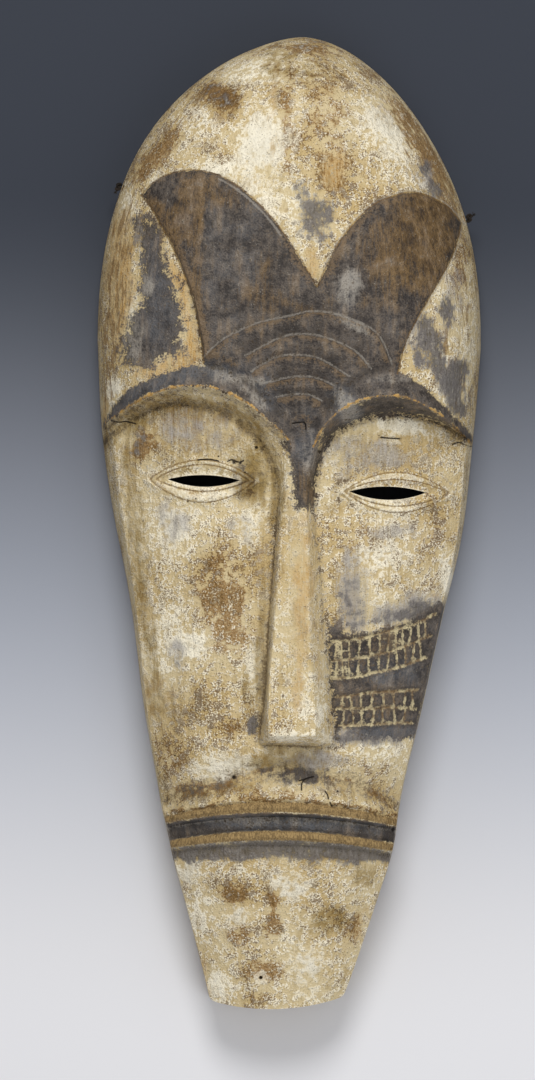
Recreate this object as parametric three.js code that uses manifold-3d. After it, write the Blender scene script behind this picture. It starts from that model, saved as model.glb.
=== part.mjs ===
// A long carved wooden face mask, lying face up on its flat rim.
// Millimetres, +Z out of the face, +Y towards the crown, +X to the right of whoever looks at the face.
// The origin is under the middle of the mask, in the plane of the rim.
import * as THREE from "three";
import { mergeVertices } from "three/addons/utils/BufferGeometryUtils.js";
import Module from "manifold-3d";

// The mask seen from the front
const WIDEST_Y = 113;
const HALF_WIDTH = 123;
const CROWN_Y = 312;
const CROWN_ROUNDNESS = 2.35;
const SIDE_ROUNDNESS = 1.667;
const CHIN_START_Y = -250;
const CHIN_FAN_Y = -262;
const CHIN_Y = -311.5;
const CHIN_BOW = 7;
const CHIN_MIDDLE_X = -8;
const CHIN_HALF_WIDTH = 45;
const CHIN_SQUARENESS = 14;
const CORNER_SHARPNESS = 9;

// The block that the mask was carved from, and its hollow
const FOREHEAD_HEIGHT = 103;
const SECTION_POWER = 2.4;
const FACE_FALL_POWER = 2.8;
const WALL = 11;
const HOLLOW_SQUARENESS = 3.2;
const HOLLOW_POWER = 2.2;

// Carving
const STEP_RUN = 1.4;
const PANEL_RAISE = 1.8;
const PANEL_SIDE_RAISE = 2.4;
const BROW_RAISE = 2.6;
const BROW_VALLEY = 1;
const BRIDGE_X = 9;
const FAN_RAISE = 1.5;
const FAN_STEP_RUN = 1.6;
const FAN_BACK_RUN = 9;
const EYE_RAISE = 2.4;
const EYE_STEP_RUN = 2.2;
const EYE_SINK = 1.8;
const SCAR_DEPTH = 0.9;
const SCAR_HALF_WIDTH = 1.3;
const UNDERCUT_BEND = 1.25;
const SOCKET_DEPTH = 4;
const SOCKET_X = 40;
const SOCKET_Y = 30;
const SOCKET_HALF_WIDTH = 34;
const SOCKET_HALF_HEIGHT = 40;
const NOSE_X = 8;
const CARVING_FADE = 18;
const VALLEY_RUN = 7;
const PANEL_RISE_RUN = 9;

// The hanging cord
const CORD_DIAMETER = 2.4;
const CORD_SIDES = 8;
const CORD_STEP = 6;
const CORD_HOLE_RADIUS = 2.5;
const CORD_HOLE_DEPTH = 40;
const KNOT_RADIUS = 3.2;
const KNOT_GAP = 0.4;

// How closely the solid follows the carving
const RIM_STEP = 13;
const PLAIN_STEP = 11.5;
const LINE_STEP = 5.5;
const EDGE_STEP = 8;
const CLEAR_OF_LINES = 3.4;
const CLEAR_OF_POINTS = 1.1;
const ARC_SAMPLES = 28;
const HOLLOW_LEVELS = 6;
const CLEAR_OF_EDGE = 3;
const CROWN_ARC = 540;
const CHIN_ARC = 220;
const SLIT_CUT = 120;

const clamp = (value, low = 0, high = 1) => Math.min(high, Math.max(low, value));

function smooth(from, to, value) {
  const t = clamp((value - from) / (to - from));
  return t * t * (3 - 2 * t);
}

// A smooth curve through a few [input, output] pairs, level beyond its ends.
function curve(pairs) {
  const last = pairs.length - 1;
  const slope = (i) => {
    const [before, after] = [pairs[Math.max(i - 1, 0)], pairs[Math.min(i + 1, last)]];
    return (after[1] - before[1]) / (after[0] - before[0]);
  };
  const slopes = pairs.map((_, i) => slope(i));
  return (input) => {
    let i = 0;
    while (i < last - 1 && input > pairs[i + 1][0]) i += 1;
    const run = pairs[i + 1][0] - pairs[i][0];
    const t = clamp((input - pairs[i][0]) / run);
    const rise = t * t * (3 - 2 * t);
    const tangents = slopes[i] * t * (1 - t) ** 2 - slopes[i + 1] * t * t * (1 - t);
    return pairs[i][1] * (1 - rise) + pairs[i + 1][1] * rise + tangents * run;
  };
}

// A smooth line through a few [x, y] points, as evenly spaced points.
function line(points, step = LINE_STEP) {
  const spline = new THREE.SplineCurve(points.map(([x, y]) => new THREE.Vector2(x, y)));
  const count = Math.max(2, Math.round(spline.getLength() / step));
  return spline.getSpacedPoints(count).map((p) => [p.x, p.y]);
}

// How far a point is from a line.
function distance(points, x, y) {
  let best = Infinity;
  for (let i = 1; i < points.length; i += 1) {
    const [ax, ay] = points[i - 1];
    const [bx, by] = [points[i][0] - ax, points[i][1] - ay];
    const t = clamp(((x - ax) * bx + (y - ay) * by) / (bx * bx + by * by));
    best = Math.min(best, Math.hypot(x - ax - t * bx, y - ay - t * by));
  }
  return best;
}

function inside(outline, x, y) {
  let odd = false;
  outline.forEach(([ax, ay], i) => {
    const [bx, by] = outline[(i + 1) % outline.length];
    if (ay > y !== by > y && x < ax + ((y - ay) * (bx - ax)) / (by - ay)) odd = !odd;
  });
  return odd;
}

// The line moved sideways, to its left for a positive amount.
function beside(points, amount) {
  return points.map(([x, y], i) => {
    const [before, after] = [points[Math.max(i - 1, 0)], points[Math.min(i + 1, points.length - 1)]];
    const along = Math.hypot(after[0] - before[0], after[1] - before[1]);
    const [dx, dy] = [(after[0] - before[0]) / along, (after[1] - before[1]) / along];
    return [x - dy * amount, y + dx * amount];
  });
}

// Widths, middle line and heights from the chin to the crown, as [y, size] pairs
const halfWidth = curve([
  [-311, 41], [-280, 50.5], [-240, 62.5], [-215, 70], [-190, 75], [-165, 79.5], [-120, 89], [-60, 99.5],
  [0, 112], [60, 119.5], [WIDEST_Y, HALF_WIDTH],
]);
const middle = curve([
  [-311, -2.5], [-280, -1], [-205, 0], [-180, -1.4], [-120, -0.6], [-60, 1.4], [-20, 2.2], [50, 0],
  [113, 0], [190, -1], [250, -2], [290, 1], [312, 6],
]);
const crest = curve([
  [-311, 84], [-250, 92], [-180, 100], [-140, 107], [-115, 107], [-73, 104], [-24, 99], [20, 97],
  [45, 99.5], [75, 103], [WIDEST_Y, FOREHEAD_HEIGHT],
]);
const faceHeight = curve([
  [-311, 48], [-250, 62], [-215, 72], [-180, 79], [-140, 82], [-60, 86], [20, 86], [60, 88],
]);
const edgeHeight = curve([
  [-311, 34], [-215, 42], [-180, 45], [-100, 48], [0, 50], [60, 50], [110, 40], [160, 30], [311, 30],
]);
const leftSquareness = curve([
  [-200, 5], [-115, 4.2], [0, 3], [60, 1.95], [130, 1.5], [220, 1.25],
]);
const rightSquareness = curve([
  [-200, 6], [-115, 5], [0, 3.9], [60, 2.8], [130, 1.9], [220, 1.3],
]);
const hollowHeight = curve([
  [-262, 42], [-240, 47], [-200, 57], [-165, 61], [-100, 68], [0, 72], [60, 78], [113, 88],
]);

// Lines of the carving
const browRidgeLeft = line([
  [-124, 56], [-113, 64], [-95, 76], [-71, 85], [-46, 84], [-26, 75], [-10, 62], [-1, 54], [3, 43],
  [0, 20], [-3, 2], [-4, -24], [-7, -73], [-9.5, -103], [-9, -136],
]);
const browRidgeRight = line([
  [20, -135], [18, -106], [15, -73], [13.5, -24], [12, 20], [15, 42], [22, 60], [37, 74], [56, 80.5],
  [75, 80], [96, 70], [114, 55], [124, 46],
]);
const browFootLeft = line([
  [-124, 44], [-109, 56], [-88, 70], [-70, 74], [-47, 70], [-33, 64], [-22, 55], [-13, 43], [-9, 33],
  [-6, 15], [-8, -24], [-11, -73], [-12, -103], [-16, -142],
]);
const browFootRight = line([
  [34, -143], [32, -117], [29, -87], [25, -58], [22, -27], [18, 4], [19, 30], [23, 46], [35, 59],
  [55, 67], [74, 69], [96, 64], [116, 54], [124, 44],
]);
const noseEnd = line([browRidgeLeft.at(-1), browRidgeRight[0]]);
const noseBase = line([browFootLeft.at(-1), browFootRight[0]]);
const ridge = [...browRidgeLeft, ...noseEnd.slice(1, -1), ...browRidgeRight];
const foot = [...browFootLeft, ...noseBase.slice(1, -1), ...browFootRight];
const BEYOND = 400;
const uncut = [...ridge, [BEYOND, BEYOND], [-BEYOND, BEYOND]];
const unscooped = [...foot, [BEYOND, BEYOND], [-BEYOND, BEYOND]];

const browTopLeft = line([
  [-120, 58], [-107, 78], [-87, 90], [-58, 98], [-31, 90], [-10, 72], [4, 58],
]);
const browTopRight = line([
  [16, 58], [33, 82], [46, 92], [62, 97], [82, 90], [100, 75], [120, 55],
]);

const leafTopLeft = line([
  [-96, 207], [-84, 218], [-63, 223], [-41, 217], [-19, 200], [-1, 178], [17, 149],
]);
const leafTopRight = line([
  [17, 149], [30, 177], [48, 199], [64, 208], [80, 211], [98, 204], [109, 193],
]);
const leafSideLeft = line([[-54, 100], [-56, 114], [-62, 141], [-72, 167], [-87, 195], [-96, 207]]);
const leafSideRight = line([[109, 193], [103, 171], [88, 143], [75, 118], [69, 95]]);
const leafTops = [...leafTopLeft, ...leafTopRight.slice(1)];
const panelEdge = [...leafSideLeft, ...leafTops.slice(1), ...leafSideRight.slice(1)];
const panelFoot = [
  ...browTopRight.filter(([x]) => x < leafSideRight.at(-1)[0]).reverse(),
  ...browTopLeft.filter(([x]) => x > leafSideLeft[0][0]).reverse(),
];
const panel = [...panelEdge, ...panelFoot];

const fanRibs = [
  [[-54, 104], [-44, 114], [-30, 122], [-17, 127], [1, 131], [15, 134], [34, 131], [55, 121], [65, 102]],
  [[-28, 105], [-10, 115], [2, 119], [15, 119], [27, 116], [42, 109], [52, 98]],
  [[-24, 95], [-10, 104], [2, 106], [16, 105], [27, 100], [38, 93]],
  [[-15, 88], [2, 92], [16, 92], [29, 87]],
  [[-8, 79], [2, 81], [13, 81], [21, 77]],
].map((points) => line(points));

const scars = [
  [[30, -76], [50, -73], [64, -69], [80, -65], [96, -57]],
  [[30, -88], [47, -86], [57, -84], [71, -80], [93, -71]],
  [[30, -99], [44, -98], [57, -95], [71, -92], [90, -85]],
  [[33, -111], [42, -110], [54, -108], [66, -107], [85, -106]],
  [[34, -118], [58, -118], [67, -117], [84, -118]],
  [[35, -129], [57, -128], [72, -127], [82, -127]],
].map((points) => line(points));

// Eyes: each almond is [half length, height above its middle, depth below it]
const eyes = [
  { x: -54, y: 26, lid: [40, 15, 17], rim: [28, 10, 7], slit: [23, 3, 4.5], slitX: -53 },
  { x: 70, y: 20, lid: [38, 15, 15.5], rim: [31, 7.5, 8.5], slit: [24.5, 3.5, 5], slitX: 64 },
];

// The mouth, line by line: y on the middle line, drop towards the sides, height off the face
const MOUTH_HALF_WIDTH = 74;
const mouthLines = [
  { y: -144, drop: 4, raise: 0 },
  { y: -161, drop: 19, raise: -5 },
  { y: -176, drop: 11.5, raise: 2.4 },
  { y: -178, drop: 11, raise: 0.8 },
  { y: -181.5, drop: 10, raise: 4 },
  { y: -185.5, drop: 8.5, raise: 2.5 },
  { y: -187.5, drop: 8.5, raise: -2.5 },
  { y: -195.5, drop: 8.5, raise: -2 },
  { y: -198, drop: 8.5, raise: 2.5 },
  { y: -200.5, drop: 8, raise: 3.6 },
  { y: -203.5, drop: 7.5, raise: 2 },
  { y: -206, drop: 7, raise: -0.6 },
  { y: -218, drop: 2, raise: 0 },
];

const chinEnd = (x) => CHIN_Y + CHIN_BOW * ((x - CHIN_MIDDLE_X) / CHIN_HALF_WIDTH) ** 2;

// 0 on the middle line, 1 on the outline of the mask.
function level(x, y) {
  const across = Math.abs(x - middle(y)) / halfWidth(y);
  const up = clamp((y - WIDEST_Y) / (CROWN_Y - WIDEST_Y), 0, 2);
  const down = clamp((CHIN_START_Y - y) / (CHIN_START_Y - chinEnd(x)), 0, 2);
  const dome = across ** SIDE_ROUNDNESS + up ** CROWN_ROUNDNESS;
  const end = down ** CHIN_SQUARENESS;
  return (dome ** CORNER_SHARPNESS + end ** CORNER_SHARPNESS) ** (1 / CORNER_SHARPNESS);
}

// The rounded block, before the face is cut into it.
function block(x, y) {
  const squareness = x < middle(y) ? leftSquareness(y) : rightSquareness(y);
  const fall = clamp(level(x, y)) ** squareness;
  return crest(y) * (1 - fall) ** (1 / SECTION_POWER);
}

// How far the sharp edge of the face is from the middle line, on the left (-1) or right (1).
function edgeReach(side, y) {
  const squareness = side < 0 ? leftSquareness(y) : rightSquareness(y);
  const fall = 1 - (edgeHeight(y) / crest(y)) ** SECTION_POWER;
  return halfWidth(y) * fall ** (1 / (squareness * SIDE_ROUNDNESS));
}

// The plane of the cheeks, which meets the block's side in the sharp edge.
function face(x, y) {
  const across = Math.abs(x - middle(y)) / edgeReach(x < middle(y) ? -1 : 1, y);
  const aside = (Math.abs(x - NOSE_X) - SOCKET_X) / SOCKET_HALF_WIDTH;
  const socket = SOCKET_DEPTH * (1 - smooth(0, 1, Math.hypot(aside, (y - SOCKET_Y) / SOCKET_HALF_HEIGHT)));
  return faceHeight(y) - socket - (faceHeight(y) - edgeHeight(y)) * across ** FACE_FALL_POWER;
}

// How far out in an almond a point is: 1 on its outline.
function almond([length, up, down], eyeX, eyeY, x, y) {
  const across = Math.abs(x - eyeX) / length;
  const tall = (y > eyeY ? up : down) * Math.max(1 - across * across, 1e-6);
  return across >= 1 ? 1 + (across - 1) * length : Math.abs(y - eyeY) / tall;
}

function eyeRelief(x, y) {
  return eyes.reduce((sum, eye) => {
    const lid = almond(eye.lid, eye.x, eye.y, x, y);
    const rim = almond(eye.rim, eye.x, eye.y, x, y);
    const raised = EYE_RAISE * (1 - smooth(1 - EYE_STEP_RUN / eye.lid[1], 1.04, lid));
    return sum + raised - EYE_SINK * (1 - smooth(0.55, 1, rim));
  }, 0);
}

function mouthLineY({ y, drop }, x) {
  return y - drop * Math.min(1.2, Math.abs(x) / MOUTH_HALF_WIDTH) ** 2;
}

function mouthRelief(x, y) {
  const places = mouthLines.map((mouthLine) => mouthLineY(mouthLine, x));
  if (y >= places[0] || y <= places[places.length - 1]) return 0;
  const i = places.findIndex((place) => y > place);
  const t = smooth(places[i - 1], places[i], y);
  return mouthLines[i - 1].raise * (1 - t) + mouthLines[i].raise * t;
}

function scarRelief(x, y) {
  const near = Math.min(...scars.map((scar) => distance(scar, x, y)));
  return -SCAR_DEPTH * clamp(1 - near / SCAR_HALF_WIDTH);
}

// The brows sink into the middle of the forehead, over the nose.
const browFade = (x) => smooth(4, 26, Math.abs(x - BRIDGE_X));

// How far a point lies above a rib of the fan; far above it where the rib has ended.
function aboveRib(rib, x, y) {
  const first = rib[0];
  const last = rib[rib.length - 1];
  if (x <= first[0] || x >= last[0]) return BEYOND;
  const i = rib.findIndex((point) => point[0] > x);
  const t = (x - rib[i - 1][0]) / (rib[i][0] - rib[i - 1][0]);
  const over = y > rib[i - 1][1] * (1 - t) + rib[i][1] * t;
  return distance(rib, x, y) * (over ? 1 : -1);
}

// The leaf-shaped panel, higher along its left side, with the fan of ribs on it.
function panelRelief(x, y) {
  const side = smooth(-15, -55, x) * smooth(205, 130, y);
  const raised = PANEL_RAISE + PANEL_SIDE_RAISE * side;
  return fanRibs.reduce((relief, rib) => {
    const below = -aboveRib(rib, x, y);
    if (below <= 0) return relief;
    return relief + FAN_RAISE * Math.min(below / FAN_STEP_RUN, 1) * clamp(1 - below / FAN_BACK_RUN);
  }, raised * clamp(distance(panelEdge, x, y) / STEP_RUN));
}

const browLeft = [...browTopLeft, ...browRidgeLeft.filter(([, y]) => y > 50).reverse()];
const browRight = [...browTopRight, ...browRidgeRight.filter(([, y]) => y > 50).reverse()];
const insideBrow = (x, y) => inside(browLeft, x, y) || inside(browRight, x, y);

// The brows, the valley above them and the panel, over the block.
function foreheadRelief(x, y) {
  const toTop = Math.min(distance(browTopLeft, x, y), distance(browTopRight, x, y));
  const valley = BROW_VALLEY * browFade(x);
  const upSlope = -valley * (1 - smooth(0, VALLEY_RUN, toTop));
  if (inside(panel, x, y)) return upSlope + panelRelief(x, y) * smooth(0, PANEL_RISE_RUN, toTop);
  if (!insideBrow(x, y)) return upSlope;
  const toRidge = distance(ridge, x, y);
  const share = toRidge / (toRidge + toTop);
  return BROW_RAISE * browFade(x) * (1 - share) - valley * share;
}

// Height of the carved front over the plane of the rim.
function front(x, y) {
  const uncarved = block(x, y);
  const fade = smooth(0, CARVING_FADE, uncarved);
  if (inside(uncut, x, y)) return uncarved + foreheadRelief(x, y) * fade;
  const cut = Math.min(uncarved, face(x, y));
  const onSide = smooth(edgeHeight(y) - 26, edgeHeight(y) - 2, cut);
  const plane = cut + eyeRelief(x, y) + (mouthRelief(x, y) + scarRelief(x, y)) * onSide;
  if (!inside(unscooped, x, y)) return plane;
  const toRidge = distance(ridge, x, y);
  const toFoot = distance(foot, x, y);
  const share = (toFoot / (toRidge + toFoot)) ** UNDERCUT_BEND;
  const over = uncarved + (y > SOCKET_Y ? BROW_RAISE * browFade(x) * fade : 0);
  return plane + (over - plane) * share;
}

// Where a point belongs on the middle line: the crown and the chin fan out from one point each.
function anchor(y) {
  const at = clamp(y, CHIN_FAN_Y, WIDEST_Y);
  return [middle(at), at];
}

// How far the mask reaches from a point, in one direction.
function reach(from, angle) {
  let [near, far] = [0, 2 * CROWN_Y];
  for (let i = 0; i < 40; i += 1) {
    const half = (near + far) / 2;
    const over = level(from[0] + half * Math.cos(angle), from[1] + half * Math.sin(angle)) > 1;
    [near, far] = over ? [near, half] : [half, far];
  }
  return [from[0] + near * Math.cos(angle), from[1] + near * Math.sin(angle)];
}

// The outline of the mask, in step with its anchors, from the right of the chin round the crown.
function outline() {
  const sideSteps = Math.round((WIDEST_Y - CHIN_FAN_Y) / RIM_STEP);
  const sideStep = (WIDEST_Y - CHIN_FAN_Y) / sideSteps;
  const heights = Array.from({ length: sideSteps }, (_, i) => CHIN_FAN_Y + sideStep * (i + 0.5));
  const rib = (y, angle) => ({ from: anchor(y), edge: reach(anchor(y), angle) });
  const fan = (y, start, arc) => {
    const steps = Math.round(arc / RIM_STEP);
    return Array.from({ length: steps + 1 }, (_, i) => rib(y, start + (Math.PI * i) / steps));
  };
  const all = [
    ...heights.map((y) => rib(y, 0)),
    ...fan(WIDEST_Y, 0, CROWN_ARC),
    ...heights.toReversed().map((y) => rib(y, Math.PI)),
    ...fan(CHIN_FAN_Y, Math.PI, CHIN_ARC),
  ];
  return all.filter(({ edge }, i) => {
    const next = all[(i + 1) % all.length].edge;
    return Math.hypot(edge[0] - next[0], edge[1] - next[1]) > 2;
  });
}

// The front laid out flat, so that the steep sides get as much room as they need.
function flatten(x, y) {
  const [ax, ay] = anchor(y);
  let [run, before] = [0, block(ax, ay)];
  for (let i = 1; i <= ARC_SAMPLES; i += 1) {
    const t = i / ARC_SAMPLES;
    const height = block(ax + (x - ax) * t, ay + (y - ay) * t);
    run += Math.hypot(Math.hypot(x - ax, y - ay) / ARC_SAMPLES, height - before);
    before = height;
  }
  const away = Math.hypot(x - ax, y - ay) || 1;
  return [ax + ((x - ax) / away) * run, ay + ((y - ay) / away) * run];
}

// Delaunay triangles of flat points, added one at a time.
function triangles(points) {
  const far = 4000;
  const all = [...points, [-far, -far], [far, -far], [0, far]];
  const circle = (a, b, c) => {
    const [ax, ay] = all[a];
    const [bx, by] = [all[b][0] - ax, all[b][1] - ay];
    const [cx, cy] = [all[c][0] - ax, all[c][1] - ay];
    const d = 2 * (bx * cy - by * cx);
    const x = (cy * (bx * bx + by * by) - by * (cx * cx + cy * cy)) / d;
    const y = (bx * (cx * cx + cy * cy) - cx * (bx * bx + by * by)) / d;
    return { corners: [a, b, c], x: ax + x, y: ay + y, reach: x * x + y * y };
  };
  let found = [circle(points.length, points.length + 1, points.length + 2)];
  points.forEach(([x, y], i) => {
    const border = new Map();
    found = found.filter(({ corners, x: cx, y: cy, reach }) => {
      if ((x - cx) ** 2 + (y - cy) ** 2 > reach) return true;
      corners.forEach((a, k) => {
        const b = corners[(k + 1) % 3];
        if (!border.delete(b + " " + a)) border.set(a + " " + b, [a, b]);
      });
      return false;
    });
    border.forEach(([a, b]) => found.push(circle(a, b, i)));
  });
  return found.map(({ corners }) => corners).filter((corners) => corners.every((i) => i < points.length));
}

// Points that keep clear of each other, found again by the square cell that they are in.
function spread(kept) {
  const cells = new Map();
  const cell = (v) => Math.floor(v / 8);
  const crowded = (x, y, gap) =>
    [-1, 0, 1].some((i) => [-1, 0, 1].some((j) => {
      const list = cells.get((cell(x) + i) + " " + (cell(y) + j)) || [];
      return list.some(([px, py]) => Math.hypot(px - x, py - y) < gap);
    }));
  return (gap) => ([x, y]) => {
    if (level(x, y) > 0.985 || crowded(x, y, gap)) return;
    const key = cell(x) + " " + cell(y);
    if (!cells.has(key)) cells.set(key, []);
    cells.get(key).push([x, y]);
    kept.push([x, y, front(x, y)]);
  };
}

// A point on the sharp edge of the face.
function edgePoint(side, y) {
  return [middle(y) + side * edgeReach(side, y), y];
}

function faceEdges() {
  const rows = Array.from({ length: 43 }, (_, i) => CHIN_START_Y - 40 + EDGE_STEP * i);
  return rows.flatMap((y) => [edgePoint(-1, y), edgePoint(1, y)]);
}

// Points round an almond that is grown or shrunk from the one named.
function almondRing(eye, [length, up, down], grow) {
  return Array.from({ length: 28 }, (_, i) => {
    const turn = (Math.PI * i) / 14;
    const tall = Math.sin(turn) * Math.abs(Math.sin(turn)) * (turn < Math.PI ? up : down);
    return [eye.x + Math.cos(turn) * length * grow, eye.y + tall * grow];
  });
}

function eyeRings(eye) {
  return [
    ...almondRing(eye, eye.lid, 1.04),
    ...almondRing(eye, eye.lid, 1 - EYE_STEP_RUN / eye.lid[1]),
    ...almondRing(eye, eye.rim, 1),
    ...almondRing(eye, eye.rim, 0.55),
  ];
}

function mouthRow(mouthLine) {
  const endY = mouthLineY(mouthLine, MOUTH_HALF_WIDTH);
  const [left, right] = [edgePoint(-1, endY)[0], edgePoint(1, endY)[0]];
  const steps = Math.round((right - left) / LINE_STEP);
  return Array.from({ length: steps + 1 }, (_, i) => left + ((right - left) * i) / steps)
    .map((x) => [x, mouthLineY(mouthLine, x)]);
}

function scarPoints(scar) {
  const ends = scar.filter(([x, y]) => x < edgePoint(1, y)[0] - CLEAR_OF_EDGE);
  return [-SCAR_HALF_WIDTH, 0, SCAR_HALF_WIDTH].flatMap((offset) => beside(ends, offset));
}

// Plain ground along a rib, from the edge inwards, evenly spaced over the slope.
function groundPoints({ from, edge }) {
  const samples = 120;
  const away = Math.hypot(edge[0] - from[0], edge[1] - from[1]) / samples;
  const points = [];
  let [run, before] = [0, 0];
  for (let i = samples - 1; i >= 0; i -= 1) {
    const [x, y] = [0, 1].map((k) => from[k] + ((edge[k] - from[k]) * i) / samples);
    const height = inside(uncut, x, y) ? block(x, y) : Math.min(block(x, y), face(x, y));
    run += Math.hypot(away, height - before);
    before = height;
    if (run < PLAIN_STEP) continue;
    run = 0;
    points.push([x, y]);
  }
  return points;
}

// Points of the front: the rim, then the carved lines, then plain ground between them.
function frontPoints(ribs) {
  const kept = ribs.map(({ edge }) => [...edge, 0]);
  const add = spread(kept);
  const carvedLines = [
    faceEdges(), foot, browTopLeft, browTopRight,
    ridge.filter(([x, y]) => Math.abs(x) < HALF_WIDTH - 1 || y < SOCKET_Y),
    ...[0.1, -STEP_RUN].map((offset) => beside(panelEdge, offset)),
    ...fanRibs.flatMap((rib) => [0.1, -FAN_STEP_RUN].map((offset) => beside(rib, offset))),
    ...eyes.map(eyeRings),
    ...mouthLines.map(mouthRow),
    ...scars.map(scarPoints),
  ];
  carvedLines.flat().forEach(add(CLEAR_OF_POINTS));
  ribs.flatMap(groundPoints).forEach(add(CLEAR_OF_LINES));
  return kept;
}

// The closed shell of the mask: carved front, flat rim and hollow back.
function shell() {
  const ribs = outline();
  const kept = frontPoints(ribs);
  const nudge = (i) => 1e-3 * Math.sin(i * 12.9898);
  const flat = kept.map(([x, y], i) => flatten(x, y).map((v, k) => v + nudge(2 * i + k)));
  const border = flat.slice(0, ribs.length);
  const middleOf = (corners, k) => corners.reduce((sum, i) => sum + flat[i][k], 0) / 3;
  const within = (corners) => inside(border, middleOf(corners, 0), middleOf(corners, 1));
  const faces = triangles(flat).filter(within);

  const vertices = [...kept];
  const back = ribs.map(({ from, edge }) => {
    const away = Math.hypot(edge[0] - from[0], edge[1] - from[1]);
    const share = 1 - WALL / away;
    return Array.from({ length: HOLLOW_LEVELS + 1 }, (_, k) => {
      const turn = (Math.PI / 2) * (1 - k / HOLLOW_LEVELS);
      const out = Math.sin(turn) ** (2 / HOLLOW_SQUARENESS);
      const up = k === 0 ? 0 : (1 - out ** HOLLOW_SQUARENESS) ** (1 / HOLLOW_POWER);
      vertices.push([
        from[0] + (edge[0] - from[0]) * share * out,
        from[1] + (edge[1] - from[1]) * share * out,
        hollowHeight(from[1]) * up,
      ]);
      return vertices.length - 1;
    });
  });
  ribs.forEach((_, i) => {
    const j = (i + 1) % ribs.length;
    faces.push([i, back[i][0], j], [j, back[i][0], back[j][0]]);
    for (let k = 0; k < HOLLOW_LEVELS; k += 1) {
      const [a, b] = [back[i][k], back[j][k]];
      const [c, d] = [back[i][k + 1], back[j][k + 1]];
      faces.push([a, c, b], [b, c, d]);
    }
  });
  const geometry = new THREE.BufferGeometry();
  geometry.setAttribute("position", new THREE.Float32BufferAttribute(vertices.flat(), 3));
  geometry.setIndex(faces.flat());
  return geometry;
}

const wasm = await Module();
wasm.setup();

function toSolid(geometry) {
  geometry.deleteAttribute("normal");
  geometry.deleteAttribute("uv");
  const merged = mergeVertices(geometry, 1e-4);
  return new wasm.Manifold(new wasm.Mesh({
    numProp: 3,
    vertProperties: merged.attributes.position.array,
    triVerts: new Uint32Array(merged.index.array),
  }));
}

function toGeometry(solid) {
  const mesh = solid.getMesh();
  const geometry = new THREE.BufferGeometry();
  geometry.setAttribute("position", new THREE.BufferAttribute(mesh.vertProperties, 3));
  geometry.setIndex(new THREE.BufferAttribute(mesh.triVerts, 1));
  const loose = geometry.toNonIndexed();
  loose.computeVertexNormals();
  return loose;
}

// The narrow opening of an eye, right through the wall.
function slit({ y, slit: [length, up, down], slitX }) {
  const shape = new THREE.Shape();
  shape.moveTo(slitX - length, y);
  shape.quadraticCurveTo(slitX, y + 2 * up, slitX + length, y);
  shape.quadraticCurveTo(slitX, y - 2 * down, slitX - length, y);
  return toSolid(new THREE.ExtrudeGeometry(shape, { depth: SLIT_CUT, bevelEnabled: false, curveSegments: 10 }));
}

// The two small holes that the cord goes through: a point in the wall and the way out.
const cordHoles = [
  { name: "left", at: [-101, 210.2, 22], out: [-0.96, 0.28, 0] },
  { name: "right", at: [104, 195.2, 22], out: [0.99, 0.12, 0] },
];

function cordHole({ at, out }) {
  const cutter = new THREE.CylinderGeometry(CORD_HOLE_RADIUS, CORD_HOLE_RADIUS, CORD_HOLE_DEPTH, 12);
  const way = new THREE.Vector3(...out).normalize();
  const turn = new THREE.Quaternion().setFromUnitVectors(new THREE.Vector3(0, 1, 0), way);
  cutter.applyQuaternion(turn).translate(...at);
  return toSolid(cutter);
}

const cutters = [...eyes.map(slit), ...cordHoles.map(cordHole)];
const carved = cutters.reduce((solid, cutter) => solid.subtract(cutter), toSolid(shell()));

const mask = new THREE.Mesh(
  toGeometry(carved),
  new THREE.MeshStandardMaterial({ color: 0xb9a98a, roughness: 0.9, metalness: 0 }),
);
mask.name = "mask";

// The cord runs from knot to knot, through both holes, and lies slack in the hollow.
const cordRoute = [
  [-107.4, 212.1, 21.1], [-102, 210.5, 21.1], [-95, 208.5, 20.6], [-88, 206.8, 18.6], [-78, 204.9, 13.6],
  [-67, 203.4, 7.8], [-55, 202.3, 3.4], [-40, 202, 1.7], [-20, 203, 1.6], [0, 204.6, 1.6],
  [20, 205.2, 1.6], [40, 204, 1.7], [56, 201.6, 3.4], [68, 199.4, 7.8], [80, 197.4, 13.6],
  [91, 195.8, 18.6], [98, 195, 20.6], [105, 195.3, 21.1], [110.3, 196, 21.1],
];

function cord() {
  const corners = Array.from({ length: CORD_SIDES }, (_, i) => {
    const angle = (2 * Math.PI * i) / CORD_SIDES;
    return new THREE.Vector2(Math.cos(angle), Math.sin(angle)).multiplyScalar(CORD_DIAMETER / 2);
  });
  const section = new THREE.Shape(corners);
  const path = new THREE.CatmullRomCurve3(cordRoute.map((point) => new THREE.Vector3(...point)));
  const steps = Math.round(path.getLength() / CORD_STEP);
  return new THREE.ExtrudeGeometry(section, { steps, extrudePath: path });
}

const cordColour = new THREE.MeshStandardMaterial({ color: 0x241f1a, roughness: 0.95, metalness: 0 });
const cordMesh = new THREE.Mesh(toGeometry(toSolid(cord())), cordColour);
cordMesh.name = "hanging_cord";

// Each end is tied in a small knot outside the wall.
const knots = cordHoles.map(({ name, out }, i) => {
  const end = cordRoute.at(i ? -1 : 0);
  const knot = new THREE.Mesh(new THREE.IcosahedronGeometry(KNOT_RADIUS, 1), cordColour);
  const away = KNOT_RADIUS + KNOT_GAP;
  knot.position.set(end[0] + out[0] * away, end[1] + out[1] * away, end[2]);
  knot.name = "knot_" + name;
  return knot;
});

const object = new THREE.Group();
object.add(mask, cordMesh, ...knots);
export default object;
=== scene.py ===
# %% [markdown]
# # A tall carved mask, whitened with clay
# The mask is one piece of light wood: a domed crown, a leaf-shaped panel on the forehead, arched brows
# that run into a long nose, slit eyes, two rows of cut lines on one cheek and a small mouth. The solid
# model gives the form. This script carves the same form again, finely, and gives it its worn paint.

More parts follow.
